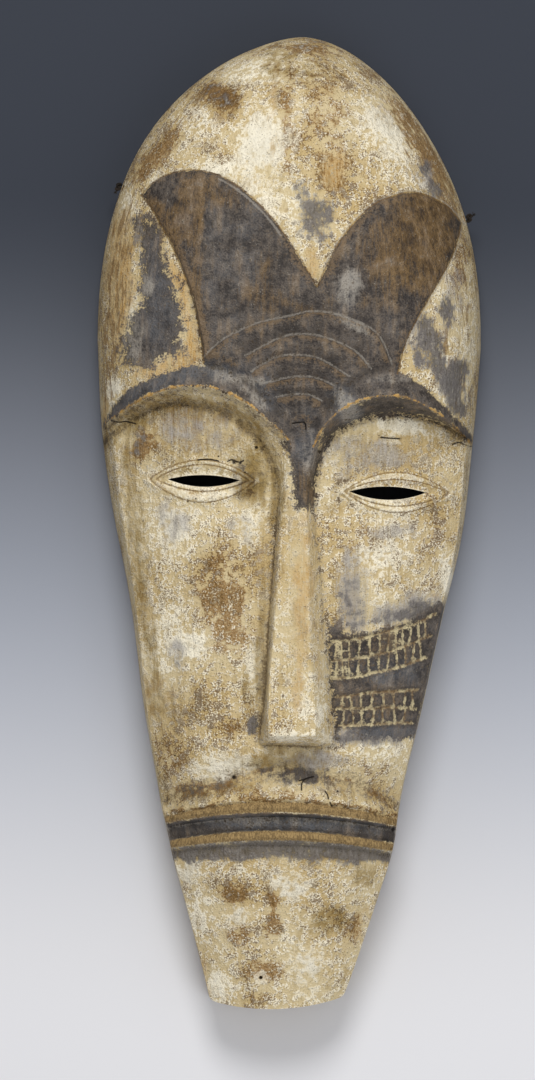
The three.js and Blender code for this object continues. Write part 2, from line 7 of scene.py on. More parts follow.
# %% Load the solid model
import math
import bmesh
import bpy
import numpy as np
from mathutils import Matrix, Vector, noise
from mathutils.geometry import delaunay_2d_cdt


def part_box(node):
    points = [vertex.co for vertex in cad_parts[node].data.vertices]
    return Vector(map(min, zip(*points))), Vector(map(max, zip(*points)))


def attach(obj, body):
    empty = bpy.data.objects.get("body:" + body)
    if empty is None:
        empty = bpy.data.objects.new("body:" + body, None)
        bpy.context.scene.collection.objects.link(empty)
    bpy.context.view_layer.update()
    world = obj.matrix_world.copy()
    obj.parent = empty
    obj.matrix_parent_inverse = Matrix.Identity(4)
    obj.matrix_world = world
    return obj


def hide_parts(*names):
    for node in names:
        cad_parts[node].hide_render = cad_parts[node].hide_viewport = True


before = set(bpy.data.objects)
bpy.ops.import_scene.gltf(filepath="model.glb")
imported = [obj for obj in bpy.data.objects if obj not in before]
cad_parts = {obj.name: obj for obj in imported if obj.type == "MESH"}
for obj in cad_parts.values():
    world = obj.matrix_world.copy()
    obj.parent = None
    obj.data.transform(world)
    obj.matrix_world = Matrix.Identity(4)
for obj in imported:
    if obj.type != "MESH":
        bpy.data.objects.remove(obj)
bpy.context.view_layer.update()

MM = 0.001
low, high = (np.array(corner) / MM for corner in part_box("mask"))
print("The mask's box in millimetres:", low.round(1), high.round(1))

# %% [markdown]
# ## The camera, the light and the floor
# The mask can't stand, so it lies on its flat rim, and the camera looks straight down on it. A long
# lens from far above keeps the outline true. The light is soft and comes from beyond the crown, a
# little from the left, so that the brows and the lips throw short soft shadows towards the chin.

# %% Camera
CAMERA_HEIGHT = 8.0
CAMERA_X, CAMERA_Y = -0.0120, -0.0117
CAMERA_TURN = math.radians(0.87)
VIEW_HEIGHT = 0.6912
FACE_HEIGHT = 0.03
SENSOR = 36.0
CLIP_END = 50.0


def add_object(name, data):
    made = bpy.data.objects.new(name, data)
    bpy.context.scene.collection.objects.link(made)
    return made


lens = bpy.data.cameras.new("camera")
lens.sensor_fit = "VERTICAL"
lens.sensor_height = SENSOR
lens.lens = SENSOR * (CAMERA_HEIGHT - FACE_HEIGHT) / VIEW_HEIGHT
lens.clip_end = CLIP_END
camera = add_object("camera", lens)
camera.location = (CAMERA_X, CAMERA_Y, CAMERA_HEIGHT)
camera.rotation_euler = (0.0, 0.0, CAMERA_TURN)
bpy.context.scene.camera = camera
bpy.context.scene.view_settings.view_transform = "Standard"
print("lens", round(lens.lens, 1), "mm")

# %% Nodes and colours
def colour(red, green, blue):
    """A colour as the eye sees it, 0 to 255, as the light that a surface sends back."""
    return tuple(((part / 255.0 + 0.055) / 1.055) ** 2.4 for part in (red, green, blue)) + (1.0,)


# Nearly all noise lies between these two values.
NOISE_LOW, NOISE_HIGH = 0.27, 0.73
SHINE, BUMP_STRENGTH = 0.3, 0.6


class Nodes:
    """The nodes of one material, added and joined in a line each."""

    def __init__(self, tree):
        self.tree = tree

    def give(self, node, inputs):
        """Sets inputs of a node, or joins them to the outputs of others."""
        for name, value in inputs.items():
            if isinstance(value, bpy.types.NodeSocket):
                self.tree.links.new(value, node.inputs[name])
            else:
                node.inputs[name].default_value = value

    def add(self, kind, inputs, **settings):
        node = self.tree.nodes.new(kind)
        for name, value in settings.items():
            setattr(node, name, value)
        self.give(node, inputs)
        return node

    def value(self, kind, inputs, **settings):
        """The first output of a new node."""
        return self.add(kind, inputs, **settings).outputs[0]

    def place(self):
        return self.add("ShaderNodeTexCoord", {}).outputs["Object"]

    def reading(self, name):
        return self.add("ShaderNodeAttribute", {}, attribute_name=name).outputs["Fac"]

    def sum(self, first, second, operation="ADD"):
        return self.value("ShaderNodeMath", {0: first, 1: second}, operation=operation)

    def times(self, first, second):
        return self.sum(first, second, "MULTIPLY")

    def ramp(self, value, start, end):
        inputs = {"Value": value, "From Min": start, "From Max": end}
        return self.value("ShaderNodeMapRange", inputs, interpolation_type="SMOOTHSTEP")

    def mix(self, factor, first, second, kind="MIX"):
        inputs = {0: factor, 6: first, 7: second}
        return self.add("ShaderNodeMix", inputs, data_type="RGBA", blend_type=kind).outputs[2]

    def grain(self, size, stretch=1.0, detail=2.0, shift=0.0, place=None):
        """Grains of this size in millimetres, drawn out along the wood, each with its own 0 to 1."""
        scale = (1.0 / (size * MM), 1.0 / (size * stretch * MM), 1.0 / (size * MM))
        inputs = {"Vector": place or self.place(), "Scale": scale, "Location": (shift, shift, shift)}
        inputs = {"Vector": self.value("ShaderNodeMapping", inputs), "Scale": 1.0, "Detail": detail}
        inputs = {"Value": self.value("ShaderNodeTexNoise", inputs)}
        inputs.update({"From Min": NOISE_LOW, "From Max": NOISE_HIGH})
        return self.value("ShaderNodeMapRange", inputs)

    def blend(self, first, second, share):
        """Grains of the first with this share of the second, just as strong."""
        strength = 1.0 / math.hypot(1.0 - share, share)
        rest = 0.5 - 0.5 * strength
        part = self.sum(self.times(first, (1.0 - share) * strength), rest)
        return self.sum(part, self.times(second, share * strength))

    def covers(self, much, grains, soft=0.1):
        """1 where a pigment lies: the more there is, the more of the grains it covers."""
        return self.ramp(self.sum(grains, much), 1.0 - soft, 1.0 + soft)

    def finish(self, shade, rough, bumps=None, depth=0.5):
        inputs = {"Base Color": shade, "Roughness": rough, "Specular IOR Level": SHINE}
        if bumps is not None:
            bump = {"Height": bumps, "Distance": depth * MM, "Strength": BUMP_STRENGTH}
            inputs["Normal"] = self.value("ShaderNodeBump", bump)
        self.give(self.tree.nodes["Principled BSDF"], inputs)


def new_material(name):
    """A material, and its nodes."""
    material = bpy.data.materials.new(name)
    material.use_nodes = True
    return material, Nodes(material.node_tree)


# %% Lights and floor
# Each lamp faces the mask: its place and width in metres, its power in watts and its colour.
lamps = {
    "key": ((-0.08, 1.8, 2.3), 1.3, 55.0, (1.0, 0.985, 0.96)),
    "fill": ((0.6, -1.1, 1.5), 1.6, 9.0, (0.97, 0.98, 1.0)),
}
WORLD_COLOUR, WORLD_STRENGTH = (0.98, 0.97, 0.98, 1.0), 0.45
FLOOR_HALF = 3.0
# Where the floor's painted shade begins and ends along y, in metres.
FLOOR_DARK_Y, FLOOR_PALE_Y = 0.22, -0.35
TINT_DARK_Y, TINT_PALE_Y = 0.0, -0.3

for name, (place, size, power, lamp_colour) in lamps.items():
    lamp = bpy.data.lights.new(name, "AREA")
    lamp.shape = "DISK"
    lamp.size = size
    lamp.energy = power
    lamp.color = lamp_colour
    hung = add_object(name, lamp)
    hung.location = place
    hung.rotation_euler = (-Vector(place)).to_track_quat("-Z", "Y").to_euler()

world = bpy.data.worlds.new("studio")
bpy.context.scene.world = world
world.use_nodes = True
sky = world.node_tree.nodes["Background"].inputs
sky["Color"].default_value = WORLD_COLOUR
sky["Strength"].default_value = WORLD_STRENGTH

corners = [(x * FLOOR_HALF, y * FLOOR_HALF, 0.0) for x, y in ((-1, -1), (1, -1), (1, 1), (-1, 1))]
floor_mesh = bpy.data.meshes.new("floor")
floor_mesh.from_pydata(corners, [], [(0, 1, 2, 3)])
floor_paper, nodes = new_material("floor_paper")
# Painted shade on the floor: dark beyond the crown, pale below the chin, a little blue where it is dark, as
# light falls off across a backdrop.
floor_y = nodes.add("ShaderNodeSeparateXYZ", {0: nodes.place()}).outputs[1]
pale = nodes.ramp(floor_y, FLOOR_DARK_Y, FLOOR_PALE_Y)
shade = nodes.mix(pale, colour(58, 61, 67), colour(224, 224, 226))
blue = nodes.ramp(floor_y, TINT_PALE_Y, TINT_DARK_Y)
tint = nodes.mix(blue, colour(252, 253, 255), colour(235, 242, 255))
nodes.finish(nodes.mix(1.0, shade, tint, "MULTIPLY"), 0.9)
floor_mesh.materials.append(floor_paper)
add_object("floor", floor_mesh)
print(len(lamps), "lamps over a floor", 2.0 * FLOOR_HALF, "m wide")

# %% [markdown]
# ## Curves and lines to carve by
# A carver works from a few marks. Each width or height here is a smooth curve through a few pairs of
# numbers, in millimetres, from the chin to the crown, and each cut is a smooth line through a few
# points. numpy works on all points of the surface at once, which keeps this fast.

# %% Helpers for curves, lines and outlines
def smooth(start, end, value):
    share = np.clip((value - start) / (end - start), 0.0, 1.0)
    return share * share * (3.0 - 2.0 * share)


def curve(*pairs):
    """A smooth curve through [place, size] pairs, level beyond its ends."""
    places, sizes = np.array(pairs, float).T
    before = np.maximum(np.arange(len(pairs)) - 1, 0)
    after = np.minimum(np.arange(len(pairs)) + 1, len(pairs) - 1)
    slopes = (sizes[after] - sizes[before]) / (places[after] - places[before])

    def size_at(place):
        i = np.clip(np.searchsorted(places, place) - 1, 0, len(pairs) - 2)
        run = places[i + 1] - places[i]
        t = np.clip((place - places[i]) / run, 0.0, 1.0)
        rise = t * t * (3.0 - 2.0 * t)
        tangents = slopes[i] * t * (1.0 - t) ** 2 - slopes[i + 1] * t * t * (1.0 - t)
        return sizes[i] * (1.0 - rise) + sizes[i + 1] * rise + tangents * run

    return size_at


def evenly(points, step):
    """The same line with evenly spaced points."""
    run = np.concatenate([[0.0], np.cumsum(np.linalg.norm(np.diff(points, axis=0), axis=1))])
    at = np.linspace(0.0, run[-1], max(2, round(run[-1] / step)) + 1)
    return np.column_stack([np.interp(at, run, points[:, k]) for k in range(points.shape[1])])


def line(*points, step=2.0):
    """A smooth line through a few points."""
    p = np.array(points, float)
    i = np.repeat(np.arange(len(p) - 1), 24)
    t = np.tile(np.arange(24) / 24.0, len(p) - 1)[:, None]
    leave = (p[i + 1] - p[np.maximum(i - 1, 0)]) / 2.0
    arrive = (p[np.minimum(i + 2, len(p) - 1)] - p[i]) / 2.0
    fine = (2 * t**3 - 3 * t**2 + 1) * p[i] + (3 * t**2 - 2 * t**3) * p[i + 1]
    fine = fine + (t**3 - 2 * t**2 + t) * leave + (t**3 - t**2) * arrive
    return evenly(np.vstack([fine, p[-1]]), step)


def beside(points, amount):
    """The line moved sideways, to its left for a positive amount."""
    ahead = np.gradient(points, axis=0)
    ahead /= np.linalg.norm(ahead, axis=1)[:, None]
    return points + amount * np.column_stack([-ahead[:, 1], ahead[:, 0]])


def distance(points, x, y):
    """How far each x, y is from a line."""
    best = np.full(np.shape(x), 1e12)
    for (ax, ay), (bx, by) in zip(points[:-1], points[1:]):
        dx, dy = bx - ax, by - ay
        t = np.clip(((x - ax) * dx + (y - ay) * dy) / (dx * dx + dy * dy), 0.0, 1.0)
        np.minimum(best, (x - ax - t * dx) ** 2 + (y - ay - t * dy) ** 2, out=best)
    return np.sqrt(best)


def inside(outline, x, y):
    odd = np.zeros(np.shape(x), bool)
    for (ax, ay), (bx, by) in zip(outline, np.roll(outline, -1, axis=0)):
        if ay != by:
            odd ^= ((ay > y) != (by > y)) & (x < ax + (y - ay) * (bx - ax) / (by - ay))
    return odd


def within(outline, x, y):
    """Distance to an outline, positive inside it."""
    closed = np.vstack([outline, outline[:1]])
    return np.where(inside(outline, x, y), 1.0, -1.0) * distance(closed, x, y)


# %% [markdown]
# ## The hanging cord
# Two dark ends show beside the forehead, so a cord runs behind the face, through a small hole in each
# side, to a knot outside it. Such a cord is rolled by hand from three yarns of plant fibre, and its cut
# ends fray. One node group winds yarns round any line; another gives an end its loose fibres.

# %% Twisted cord and frayed ends
CORD_DIAMETER, CORD_LAY = 2.4, 8.0
TIGHT_DIAMETER, TIGHT_LAY, KNOT_SIZE = 1.9, 6.0, 0.74
# How far a yarn lies from the middle, and how thick it is, as shares of the cord's diameter.
YARN_REACH, YARN_RADIUS = 0.268, 0.232
YARN_STEP, YARN_SIDES = 0.4, 7
TAIL_START, TAIL_END, TAIL_POINTS = 1.0, 3.0, 7
KNOT_GAP, KNOT_POINTS = 0.35, 90
FIBRE_LENGTH, FIBRE_THICKNESS, FIBRES = 2.4, 0.28, 16
# A loose fibre bends at one share of its length and leans out by another.
FIBRE_BEND, FIBRE_LEAN, SHORTEST_FIBRE = 0.6, 0.35, 0.4
FIBRE_SPREAD = (0.6, 0.6, 3.1)
way_out = {"left": (-0.96, 0.28, 0.0), "right": (0.99, 0.12, 0.0)}
cord_path = line(
    (-107.4, 212.1, 21.1), (-102, 210.5, 21.1), (-95, 208.5, 20.6), (-88, 206.8, 18.6), (-78, 204.9, 13.6),
    (-67, 203.4, 7.8), (-55, 202.3, 3.4), (-40, 202, 1.7), (-20, 203, 1.6), (0, 204.6, 1.6),
    (20, 205.2, 1.6), (40, 204, 1.7), (56, 201.6, 3.4), (68, 199.4, 7.8), (80, 197.4, 13.6),
    (91, 195.8, 18.6), (98, 195, 20.6), (105, 195.3, 21.1), (110.3, 196, 21.1),
)


def new_group(name, sockets):
    """An empty Geometry Nodes group with these named inputs, its nodes and what it is given."""
    tree = bpy.data.node_groups.new(name, "GeometryNodeTree")
    sockets = {"Geometry": "Geometry", **sockets}
    for title, kind in sockets.items():
        tree.interface.new_socket(title, in_out="INPUT", socket_type="NodeSocket" + kind)
    tree.interface.new_socket("Geometry", in_out="OUTPUT", socket_type="NodeSocketGeometry")
    nodes = Nodes(tree)
    return tree, nodes, nodes.add("NodeGroupInput", {}).outputs


def finish_group(nodes, geometry, material):
    smoothed = nodes.value("GeometryNodeSetShadeSmooth", {0: geometry})
    real = nodes.value("GeometryNodeRealizeInstances", {0: smoothed})
    done = nodes.value("GeometryNodeSetMaterial", {0: real, "Material": material})
    nodes.add("NodeGroupOutput", {0: done})


def tube(nodes, curve, sides, radius, **settings):
    profile = nodes.value("GeometryNodeCurvePrimitiveCircle", {"Resolution": sides, "Radius": radius})
    return nodes.value("GeometryNodeCurveToMesh", {"Curve": curve, "Profile Curve": profile, **settings})


def twisted_cord():
    kinds = {"Diameter": "Float", "Yarns": "Int", "Lay length": "Float", "Fibre": "Material"}
    tree, nodes, given = new_group("twisted_cord", kinds)

    def vectors(operation, inputs):
        return nodes.value("ShaderNodeVectorMath", inputs, operation=operation)

    middle_line = nodes.value("GeometryNodeMeshToCurve", {0: given["Geometry"]})
    settings = {"Curve": middle_line, "Length": YARN_STEP * MM}
    fine = nodes.value("GeometryNodeResampleCurve", settings, mode="LENGTH")
    settings = {0: fine, "Amount": given["Yarns"]}
    yarns = nodes.add("GeometryNodeDuplicateElements", settings, domain="SPLINE").outputs
    along = nodes.add("GeometryNodeSplineParameter", {}).outputs["Length"]
    lays = nodes.sum(along, given["Lay length"], "DIVIDE")
    turns = nodes.sum(lays, nodes.sum(yarns[1], given["Yarns"], "DIVIDE"))
    angle = nodes.times(turns, 2.0 * math.pi)
    normal = nodes.value("GeometryNodeInputNormal", {})
    tangent = nodes.value("GeometryNodeInputTangent", {})
    aside = vectors("CROSS_PRODUCT", {0: tangent, 1: normal})
    parts = [
        vectors("SCALE", {0: way, "Scale": nodes.sum(angle, 0.0, part)})
        for way, part in ((normal, "COSINE"), (aside, "SINE"))
    ]
    out = vectors("ADD", {0: parts[0], 1: parts[1]})
    shift = vectors("SCALE", {0: out, "Scale": nodes.times(given["Diameter"], YARN_REACH)})
    wound = nodes.value("GeometryNodeSetPosition", {0: yarns[0], "Offset": shift})
    radius = nodes.times(given["Diameter"], YARN_RADIUS)
    rope = tube(nodes, wound, YARN_SIDES, radius, **{"Fill Caps": True})
    finish_group(nodes, rope, given["Fibre"])
    return tree


def frayed_end():
    kinds = {
        "Fibres": "Int", "Length": "Float", "Thickness": "Float", "Turn": "Rotation", "Seed": "Int",
        "Fibre": "Material",
    }
    tree, nodes, given = new_group("frayed_end", kinds)

    def at_random(kind, lowest, highest):
        start = 0 if kind == "FLOAT_VECTOR" else 2
        settings = {start: lowest, start + 1: highest, "ID": ends[1], "Seed": given["Seed"]}
        return nodes.add("FunctionNodeRandomValue", settings, data_type=kind).outputs

    ends = nodes.value("GeometryNodeMeshToPoints", {0: given["Geometry"]})
    settings = {0: ends, "Amount": given["Fibres"]}
    ends = nodes.add("GeometryNodeDuplicateElements", settings, domain="POINT").outputs
    bend = nodes.value("ShaderNodeCombineXYZ", {"Z": nodes.times(given["Length"], FIBRE_BEND)})
    settings = {"X": nodes.times(given["Length"], FIBRE_LEAN), "Z": given["Length"]}
    tip = nodes.value("ShaderNodeCombineXYZ", settings)
    settings = {"Resolution": 4, "Start": (0.0, 0.0, 0.0), "Middle": bend, "End": tip}
    fibre = nodes.value("GeometryNodeCurveQuadraticBezier", settings)
    fibre = tube(nodes, fibre, 4, nodes.times(given["Thickness"], 0.5))
    least = tuple(-most for most in FIBRE_SPREAD)
    spread_out = at_random("FLOAT_VECTOR", least, FIBRE_SPREAD)[0]
    settings = {"Rotation": given["Turn"], "Rotate By": spread_out}
    turned = nodes.value("FunctionNodeRotateRotation", settings, rotation_space="LOCAL")
    sizes = at_random("FLOAT", SHORTEST_FIBRE, 1.0)[1]
    settings = {"Points": ends[0], "Instance": fibre, "Rotation": turned, "Scale": sizes}
    finish_group(nodes, nodes.value("GeometryNodeInstanceOnPoints", settings), given["Fibre"])
    return tree


def settle(made):
    """Keeps what an object's modifiers make as its own plain mesh."""
    seen = made.evaluated_get(bpy.context.evaluated_depsgraph_get())
    mesh = bpy.data.meshes.new_from_object(seen)
    made.modifiers.clear()
    made.data = mesh
    return mesh


def grow(name, points, tree, settings):
    """A plain mesh that a node group makes along a line of points."""
    mesh = bpy.data.meshes.new(name)
    steps = [(i, i + 1) for i in range(len(points) - 1)]
    mesh.from_pydata((points * MM).tolist(), steps, [])
    made = add_object(name, mesh)
    growing = made.modifiers.new("grow", "NODES")
    growing.node_group = tree
    for socket in tree.interface.items_tree:
        if socket.name in settings:
            growing[socket.identifier] = settings[socket.name]
    settle(made)
    return made


def tied(centre, out):
    """An overhand knot pulled tight: a trefoil round the hole's direction."""
    out = np.array(out) / np.linalg.norm(out)
    upward = np.array([0.0, 0.0, 1.0])
    t = np.linspace(KNOT_GAP, 2.0 * math.pi - KNOT_GAP, KNOT_POINTS)[:, None]
    across, up = np.sin(t) + 2.0 * np.sin(2.0 * t), np.cos(t) - 2.0 * np.cos(2.0 * t)
    trefoil = across * np.cross(out, upward) + up * upward - 1.5 * np.sin(3.0 * t) * out
    return centre + KNOT_SIZE * trefoil


fibre, nodes = new_material("dark_fibre")
hairs = nodes.blend(nodes.grain(0.5), nodes.grain(6.0, shift=4.0), 0.4)
nodes.finish(nodes.mix(hairs, colour(22, 19, 17), colour(50, 41, 32)), 0.9, hairs, 0.15)

cord_nodes, fray_nodes = twisted_cord(), frayed_end()
rope = {"Diameter": CORD_DIAMETER * MM, "Yarns": 3, "Lay length": CORD_LAY * MM, "Fibre": fibre}
tight = {**rope, "Diameter": TIGHT_DIAMETER * MM, "Lay length": TIGHT_LAY * MM}
fray = {"Fibres": FIBRES, "Length": FIBRE_LENGTH * MM, "Thickness": FIBRE_THICKNESS * MM, "Fibre": fibre}
cord = grow("cord", cord_path, cord_nodes, rope)
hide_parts("hanging_cord")
on_cord = []
# Each end has the middle of its knot, the way of its tail, and a seed for its fibres.
for side, centre, tail, seed in (
    ("left", (-110.86, 213.11, 21.1), (-0.45, -0.85, 0.3), 3),
    ("right", (113.86, 196.43, 21.1), (0.75, 0.55, 0.35), 8),
):
    knot = grow("tied_knot_" + side, tied(np.array(centre), way_out[side]), cord_nodes, tight)
    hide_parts("knot_" + side)
    tail_way = np.array(tail) / np.linalg.norm(tail)
    end_line = np.array(centre) + tail_way * np.linspace(TAIL_START, TAIL_END, TAIL_POINTS)[:, None]
    end = grow("cord_end_" + side, end_line, cord_nodes, tight)
    turn = Vector(tail_way).to_track_quat("Z", "Y").to_euler()
    loose = grow("loose_fibres_" + side, end_line[-1:], fray_nodes, {**fray, "Seed": seed, "Turn": turn})
    on_cord += [knot, end, loose]
for piece in [cord] + on_cord:
    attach(piece, "root")
cord_length = float(np.linalg.norm(np.diff(cord_path, axis=0), axis=1).sum()) * MM
print("cord length", round(cord_length, 3), "m,", len(cord.data.polygons), "faces")

# %% [markdown]
# ## The block that the mask is carved from
# Seen from the front the mask is widest at the brows. Above, its outline closes over the crown; below,
# it narrows to a chin cut almost square. Its cross-section is a flattened arch, fuller at the cheeks.

# %% Outline and block
WIDEST_Y = 113.0
CROWN_Y = high[1]
CROWN_ROUNDNESS = 2.35
SIDE_ROUNDNESS = 1.667
CHIN_START_Y = -250.0
CHIN_FAN_Y = -262.0
CHIN_BOW = 7.0
CHIN_MIDDLE_X = -8.0
CHIN_HALF_WIDTH = 45.0
CHIN_SQUARENESS = 14
CORNER_SHARPNESS = 9
SECTION_POWER = 2.4

half_width = curve(
    (-311, 41), (-280, 50.5), (-240, 62.5), (-215, 70), (-190, 75), (-165, 79.5), (-120, 89),
    (-60, 99.5), (0, 112), (60, 119.5), (WIDEST_Y, high[0]),
)
middle = curve(
    (-311, -2.5), (-280, -1), (-205, 0), (-180, -1.4), (-120, -0.6), (-60, 1.4), (-20, 2.2), (50, 0),
    (113, 0), (190, -1), (250, -2), (290, 1), (312, 6),
)
crest = curve(
    (-311, 84), (-250, 92), (-180, 100), (-140, 107), (-115, 107), (-73, 104), (-24, 99), (20, 97),
    (45, 99.5), (75, 103), (WIDEST_Y, 103),
)
left_squareness = curve((-200, 5), (-115, 4.2), (0, 3), (60, 1.95), (130, 1.5), (220, 1.25))
right_squareness = curve((-200, 6), (-115, 5), (0, 3.9), (60, 2.8), (130, 1.9), (220, 1.3))


def level(x, y):
    """0 on the middle line, 1 on the outline of the mask."""
    across = np.abs(x - middle(y)) / half_width(y)
    up = np.clip((y - WIDEST_Y) / (CROWN_Y - WIDEST_Y), 0.0, 2.0)
    chin_end = low[1] + CHIN_BOW * ((x - CHIN_MIDDLE_X) / CHIN_HALF_WIDTH) ** 2
    down = np.clip((CHIN_START_Y - y) / (CHIN_START_Y - chin_end), 0.0, 2.0)
    dome = across**SIDE_ROUNDNESS + up**CROWN_ROUNDNESS
    return (dome**CORNER_SHARPNESS + down ** (CHIN_SQUARENESS * CORNER_SHARPNESS)) ** (1 / CORNER_SHARPNESS)


def squareness(x, y):
    return np.where(x < middle(y), left_squareness(y), right_squareness(y))


def block(x, y):
    """Height of the rounded block, before the face is cut into it."""
    return crest(y) * (1.0 - np.clip(level(x, y), 0.0, 1.0) ** squareness(x, y)) ** (1 / SECTION_POWER)


print("block height over the brows", round(float(block(0.0, WIDEST_Y)), 1))

# %% [markdown]
# ## The lines of the face
# The ridge runs up one side of the nose and out along the brow; the foot is where the hollow of the
# eye meets it below. Between the two the wood is scooped away. The left and right sides differ, as they
# do on the mask, because it was cut by eye.

# %% Brows, nose, panel and fan
brow_ridge_left = line(
    (-124, 56), (-113, 64), (-95, 76), (-71, 85), (-46, 84), (-26, 75), (-10, 62), (-1, 54), (3, 43),
    (0, 20), (-3, 2), (-4, -24), (-7, -73), (-9.5, -103), (-9, -136),
)
brow_ridge_right = line(
    (20, -135), (18, -106), (15, -73), (13.5, -24), (12, 20), (15, 42), (22, 60), (37, 74), (56, 80.5),
    (75, 80), (96, 70), (114, 55), (124, 46),
)
brow_foot_left = line(
    (-124, 44), (-109, 56), (-88, 70), (-70, 74), (-47, 70), (-33, 64), (-22, 55), (-13, 43), (-9, 33),
    (-6, 15), (-8, -24), (-11, -73), (-12, -103), (-16, -142),
)
brow_foot_right = line(
    (34, -143), (32, -117), (29, -87), (25, -58), (22, -27), (18, 4), (19, 30), (23, 46), (35, 59),
    (55, 67), (74, 69), (96, 64), (116, 54), (124, 44),
)
nose_end = line(brow_ridge_left[-1], brow_ridge_right[0])
nose_base = line(brow_foot_left[-1], brow_foot_right[0])
ridge = np.vstack([brow_ridge_left, nose_end[1:-1], brow_ridge_right])
foot = np.vstack([brow_foot_left, nose_base[1:-1], brow_foot_right])
BEYOND = 400.0
beyond_crown = np.array([[BEYOND, BEYOND], [-BEYOND, BEYOND]])
uncut = np.vstack([ridge, beyond_crown])
unscooped = np.vstack([foot, beyond_crown])

brow_top_left = line((-120, 58), (-107, 78), (-87, 90), (-58, 98), (-31, 90), (-10, 72), (4, 58))
brow_top_right = line((16, 58), (33, 82), (46, 92), (62, 97), (82, 90), (100, 75), (120, 55))
brow_left = np.vstack([brow_top_left, brow_ridge_left[brow_ridge_left[:, 1] > 50][::-1]])
brow_right = np.vstack([brow_top_right, brow_ridge_right[brow_ridge_right[:, 1] > 50][::-1]])

leaf_side_left = line((-54, 100), (-56, 114), (-62, 141), (-72, 167), (-87, 195), (-96, 207))
leaf_top_left = line((-96, 207), (-84, 218), (-63, 223), (-41, 217), (-19, 200), (-1, 178), (17, 149))
leaf_top_right = line((17, 149), (30, 177), (48, 199), (64, 208), (80, 211), (98, 204), (109, 193))
leaf_side_right = line((109, 193), (103, 171), (88, 143), (75, 118), (69, 95))
panel_edge = np.vstack([leaf_side_left, leaf_top_left[1:], leaf_top_right[1:], leaf_side_right[1:]])
panel = np.vstack([
    panel_edge,
    brow_top_right[brow_top_right[:, 0] < leaf_side_right[-1, 0]][::-1],
    brow_top_left[brow_top_left[:, 0] > leaf_side_left[0, 0]][::-1],
])

light_top = beside(leaf_top_left[(leaf_top_left[:, 0] > -46.0) & (leaf_top_left[:, 0] < -4.0)], -2.2)
light_right = beside(np.vstack([leaf_top_right[6:], leaf_side_right[1:-8]]), 1.0)

fan_ribs = [
    line(
        (-54, 104), (-44, 114), (-30, 122), (-17, 127), (1, 131), (15, 134), (34, 131), (55, 121),
        (65, 102),
    ),
    line((-28, 105), (-10, 115), (2, 119), (15, 119), (27, 116), (42, 109), (52, 98)),
    line((-24, 95), (-10, 104), (2, 106), (16, 105), (27, 100), (38, 93)),
    line((-15, 88), (2, 92), (16, 92), (29, 87)),
    line((-8, 79), (2, 81), (13, 81), (21, 77)),
]

# %% Face plane, eyes, mouth and cut lines
SOCKET_DEPTH, SOCKET_X, SOCKET_Y = 4.0, 40.0, 30.0
SOCKET_HALF_WIDTH, SOCKET_HALF_HEIGHT = 34.0, 40.0
NOSE_X = 8.0
FACE_FALL_POWER = 2.8
MOUTH_HALF_WIDTH = 74.0

face_height = curve(
    (-311, 48), (-250, 62), (-215, 72), (-180, 79), (-140, 82), (-60, 86), (20, 86), (60, 88),
)
edge_height = curve(
    (-311, 34), (-215, 42), (-180, 45), (-100, 48), (0, 50), (60, 50), (110, 40), (160, 30), (311, 30),
)


def edge_reach(side, y):
    """How far the sharp edge of the face is from the middle line, on the left (-1) or right (1)."""
    power = np.where(side < 0, left_squareness(y), right_squareness(y)) * SIDE_ROUNDNESS
    fall = 1.0 - (edge_height(y) / crest(y)) ** SECTION_POWER
    return half_width(y) * fall ** (1.0 / power)


def face(x, y):
    """The plane of the cheeks, which meets the block's side in the sharp edge."""
    side = np.where(x < middle(y), -1.0, 1.0)
    across = np.abs(x - middle(y)) / edge_reach(side, y)
    aside = (np.abs(x - NOSE_X) - SOCKET_X) / SOCKET_HALF_WIDTH
    socket = SOCKET_DEPTH * (1.0 - smooth(0.0, 1.0, np.hypot(aside, (y - SOCKET_Y) / SOCKET_HALF_HEIGHT)))
    return face_height(y) - socket - (face_height(y) - edge_height(y)) * across**FACE_FALL_POWER


# Each almond is half its length, its height above its middle and its depth below it.
eyes = [
    {
        "x": -54.0, "y": 26.0, "slit_x": -53.0,
        "lid": (37.5, 14, 16), "rim": (28, 9, 7), "slit": (23, 3, 4.5),
    },
    {
        "x": 70.0, "y": 20.0, "slit_x": 64.0,
        "lid": (37.5, 14, 14.5), "rim": (31, 7.5, 8.5), "slit": (24.5, 3.5, 5),
    },
]

# The mouth, line by line: y on the middle line, drop towards the sides, height off the face.
mouth_lines = [
    (-144, 4, 0), (-161, 19, -5), (-176, 11.5, 2.4), (-178, 11, 0.8), (-181.5, 10, 4), (-185.5, 8.5, 2.5),
    (-187.5, 8.5, -2.5), (-195.5, 8.5, -2), (-198, 8.5, 2.5), (-200.5, 8, 3.6), (-203.5, 7.5, 2),
    (-206, 7, -0.6), (-218, 2, 0),
]

scars = [
    line((30, -76), (50, -73), (64, -69), (80, -65), (96, -57)),
    line((30, -88), (47, -86), (57, -84), (71, -80), (93, -71)),
    line((30, -99), (44, -98), (57, -95), (71, -92), (90, -85)),
    line((33, -111), (42, -110), (54, -108), (66, -107), (85, -106)),
    line((34, -118), (58, -118), (67, -117), (84, -118)),
    line((35, -129), (57, -128), (72, -127), (82, -127)),
]
print(len(scars), "cut lines,", len(mouth_lines), "mouth lines,", len(fan_ribs), "ribs in the fan")

# %% [markdown]
# ## Relief
# Each feature is a height over the block or the face, worked out from how far a point is from its
# line. A raised leaf is level inside and falls off over a millimetre at its edge; an arc of the fan
# drops below its line and comes back slowly, like overlapping shingles; a groove is a small V.

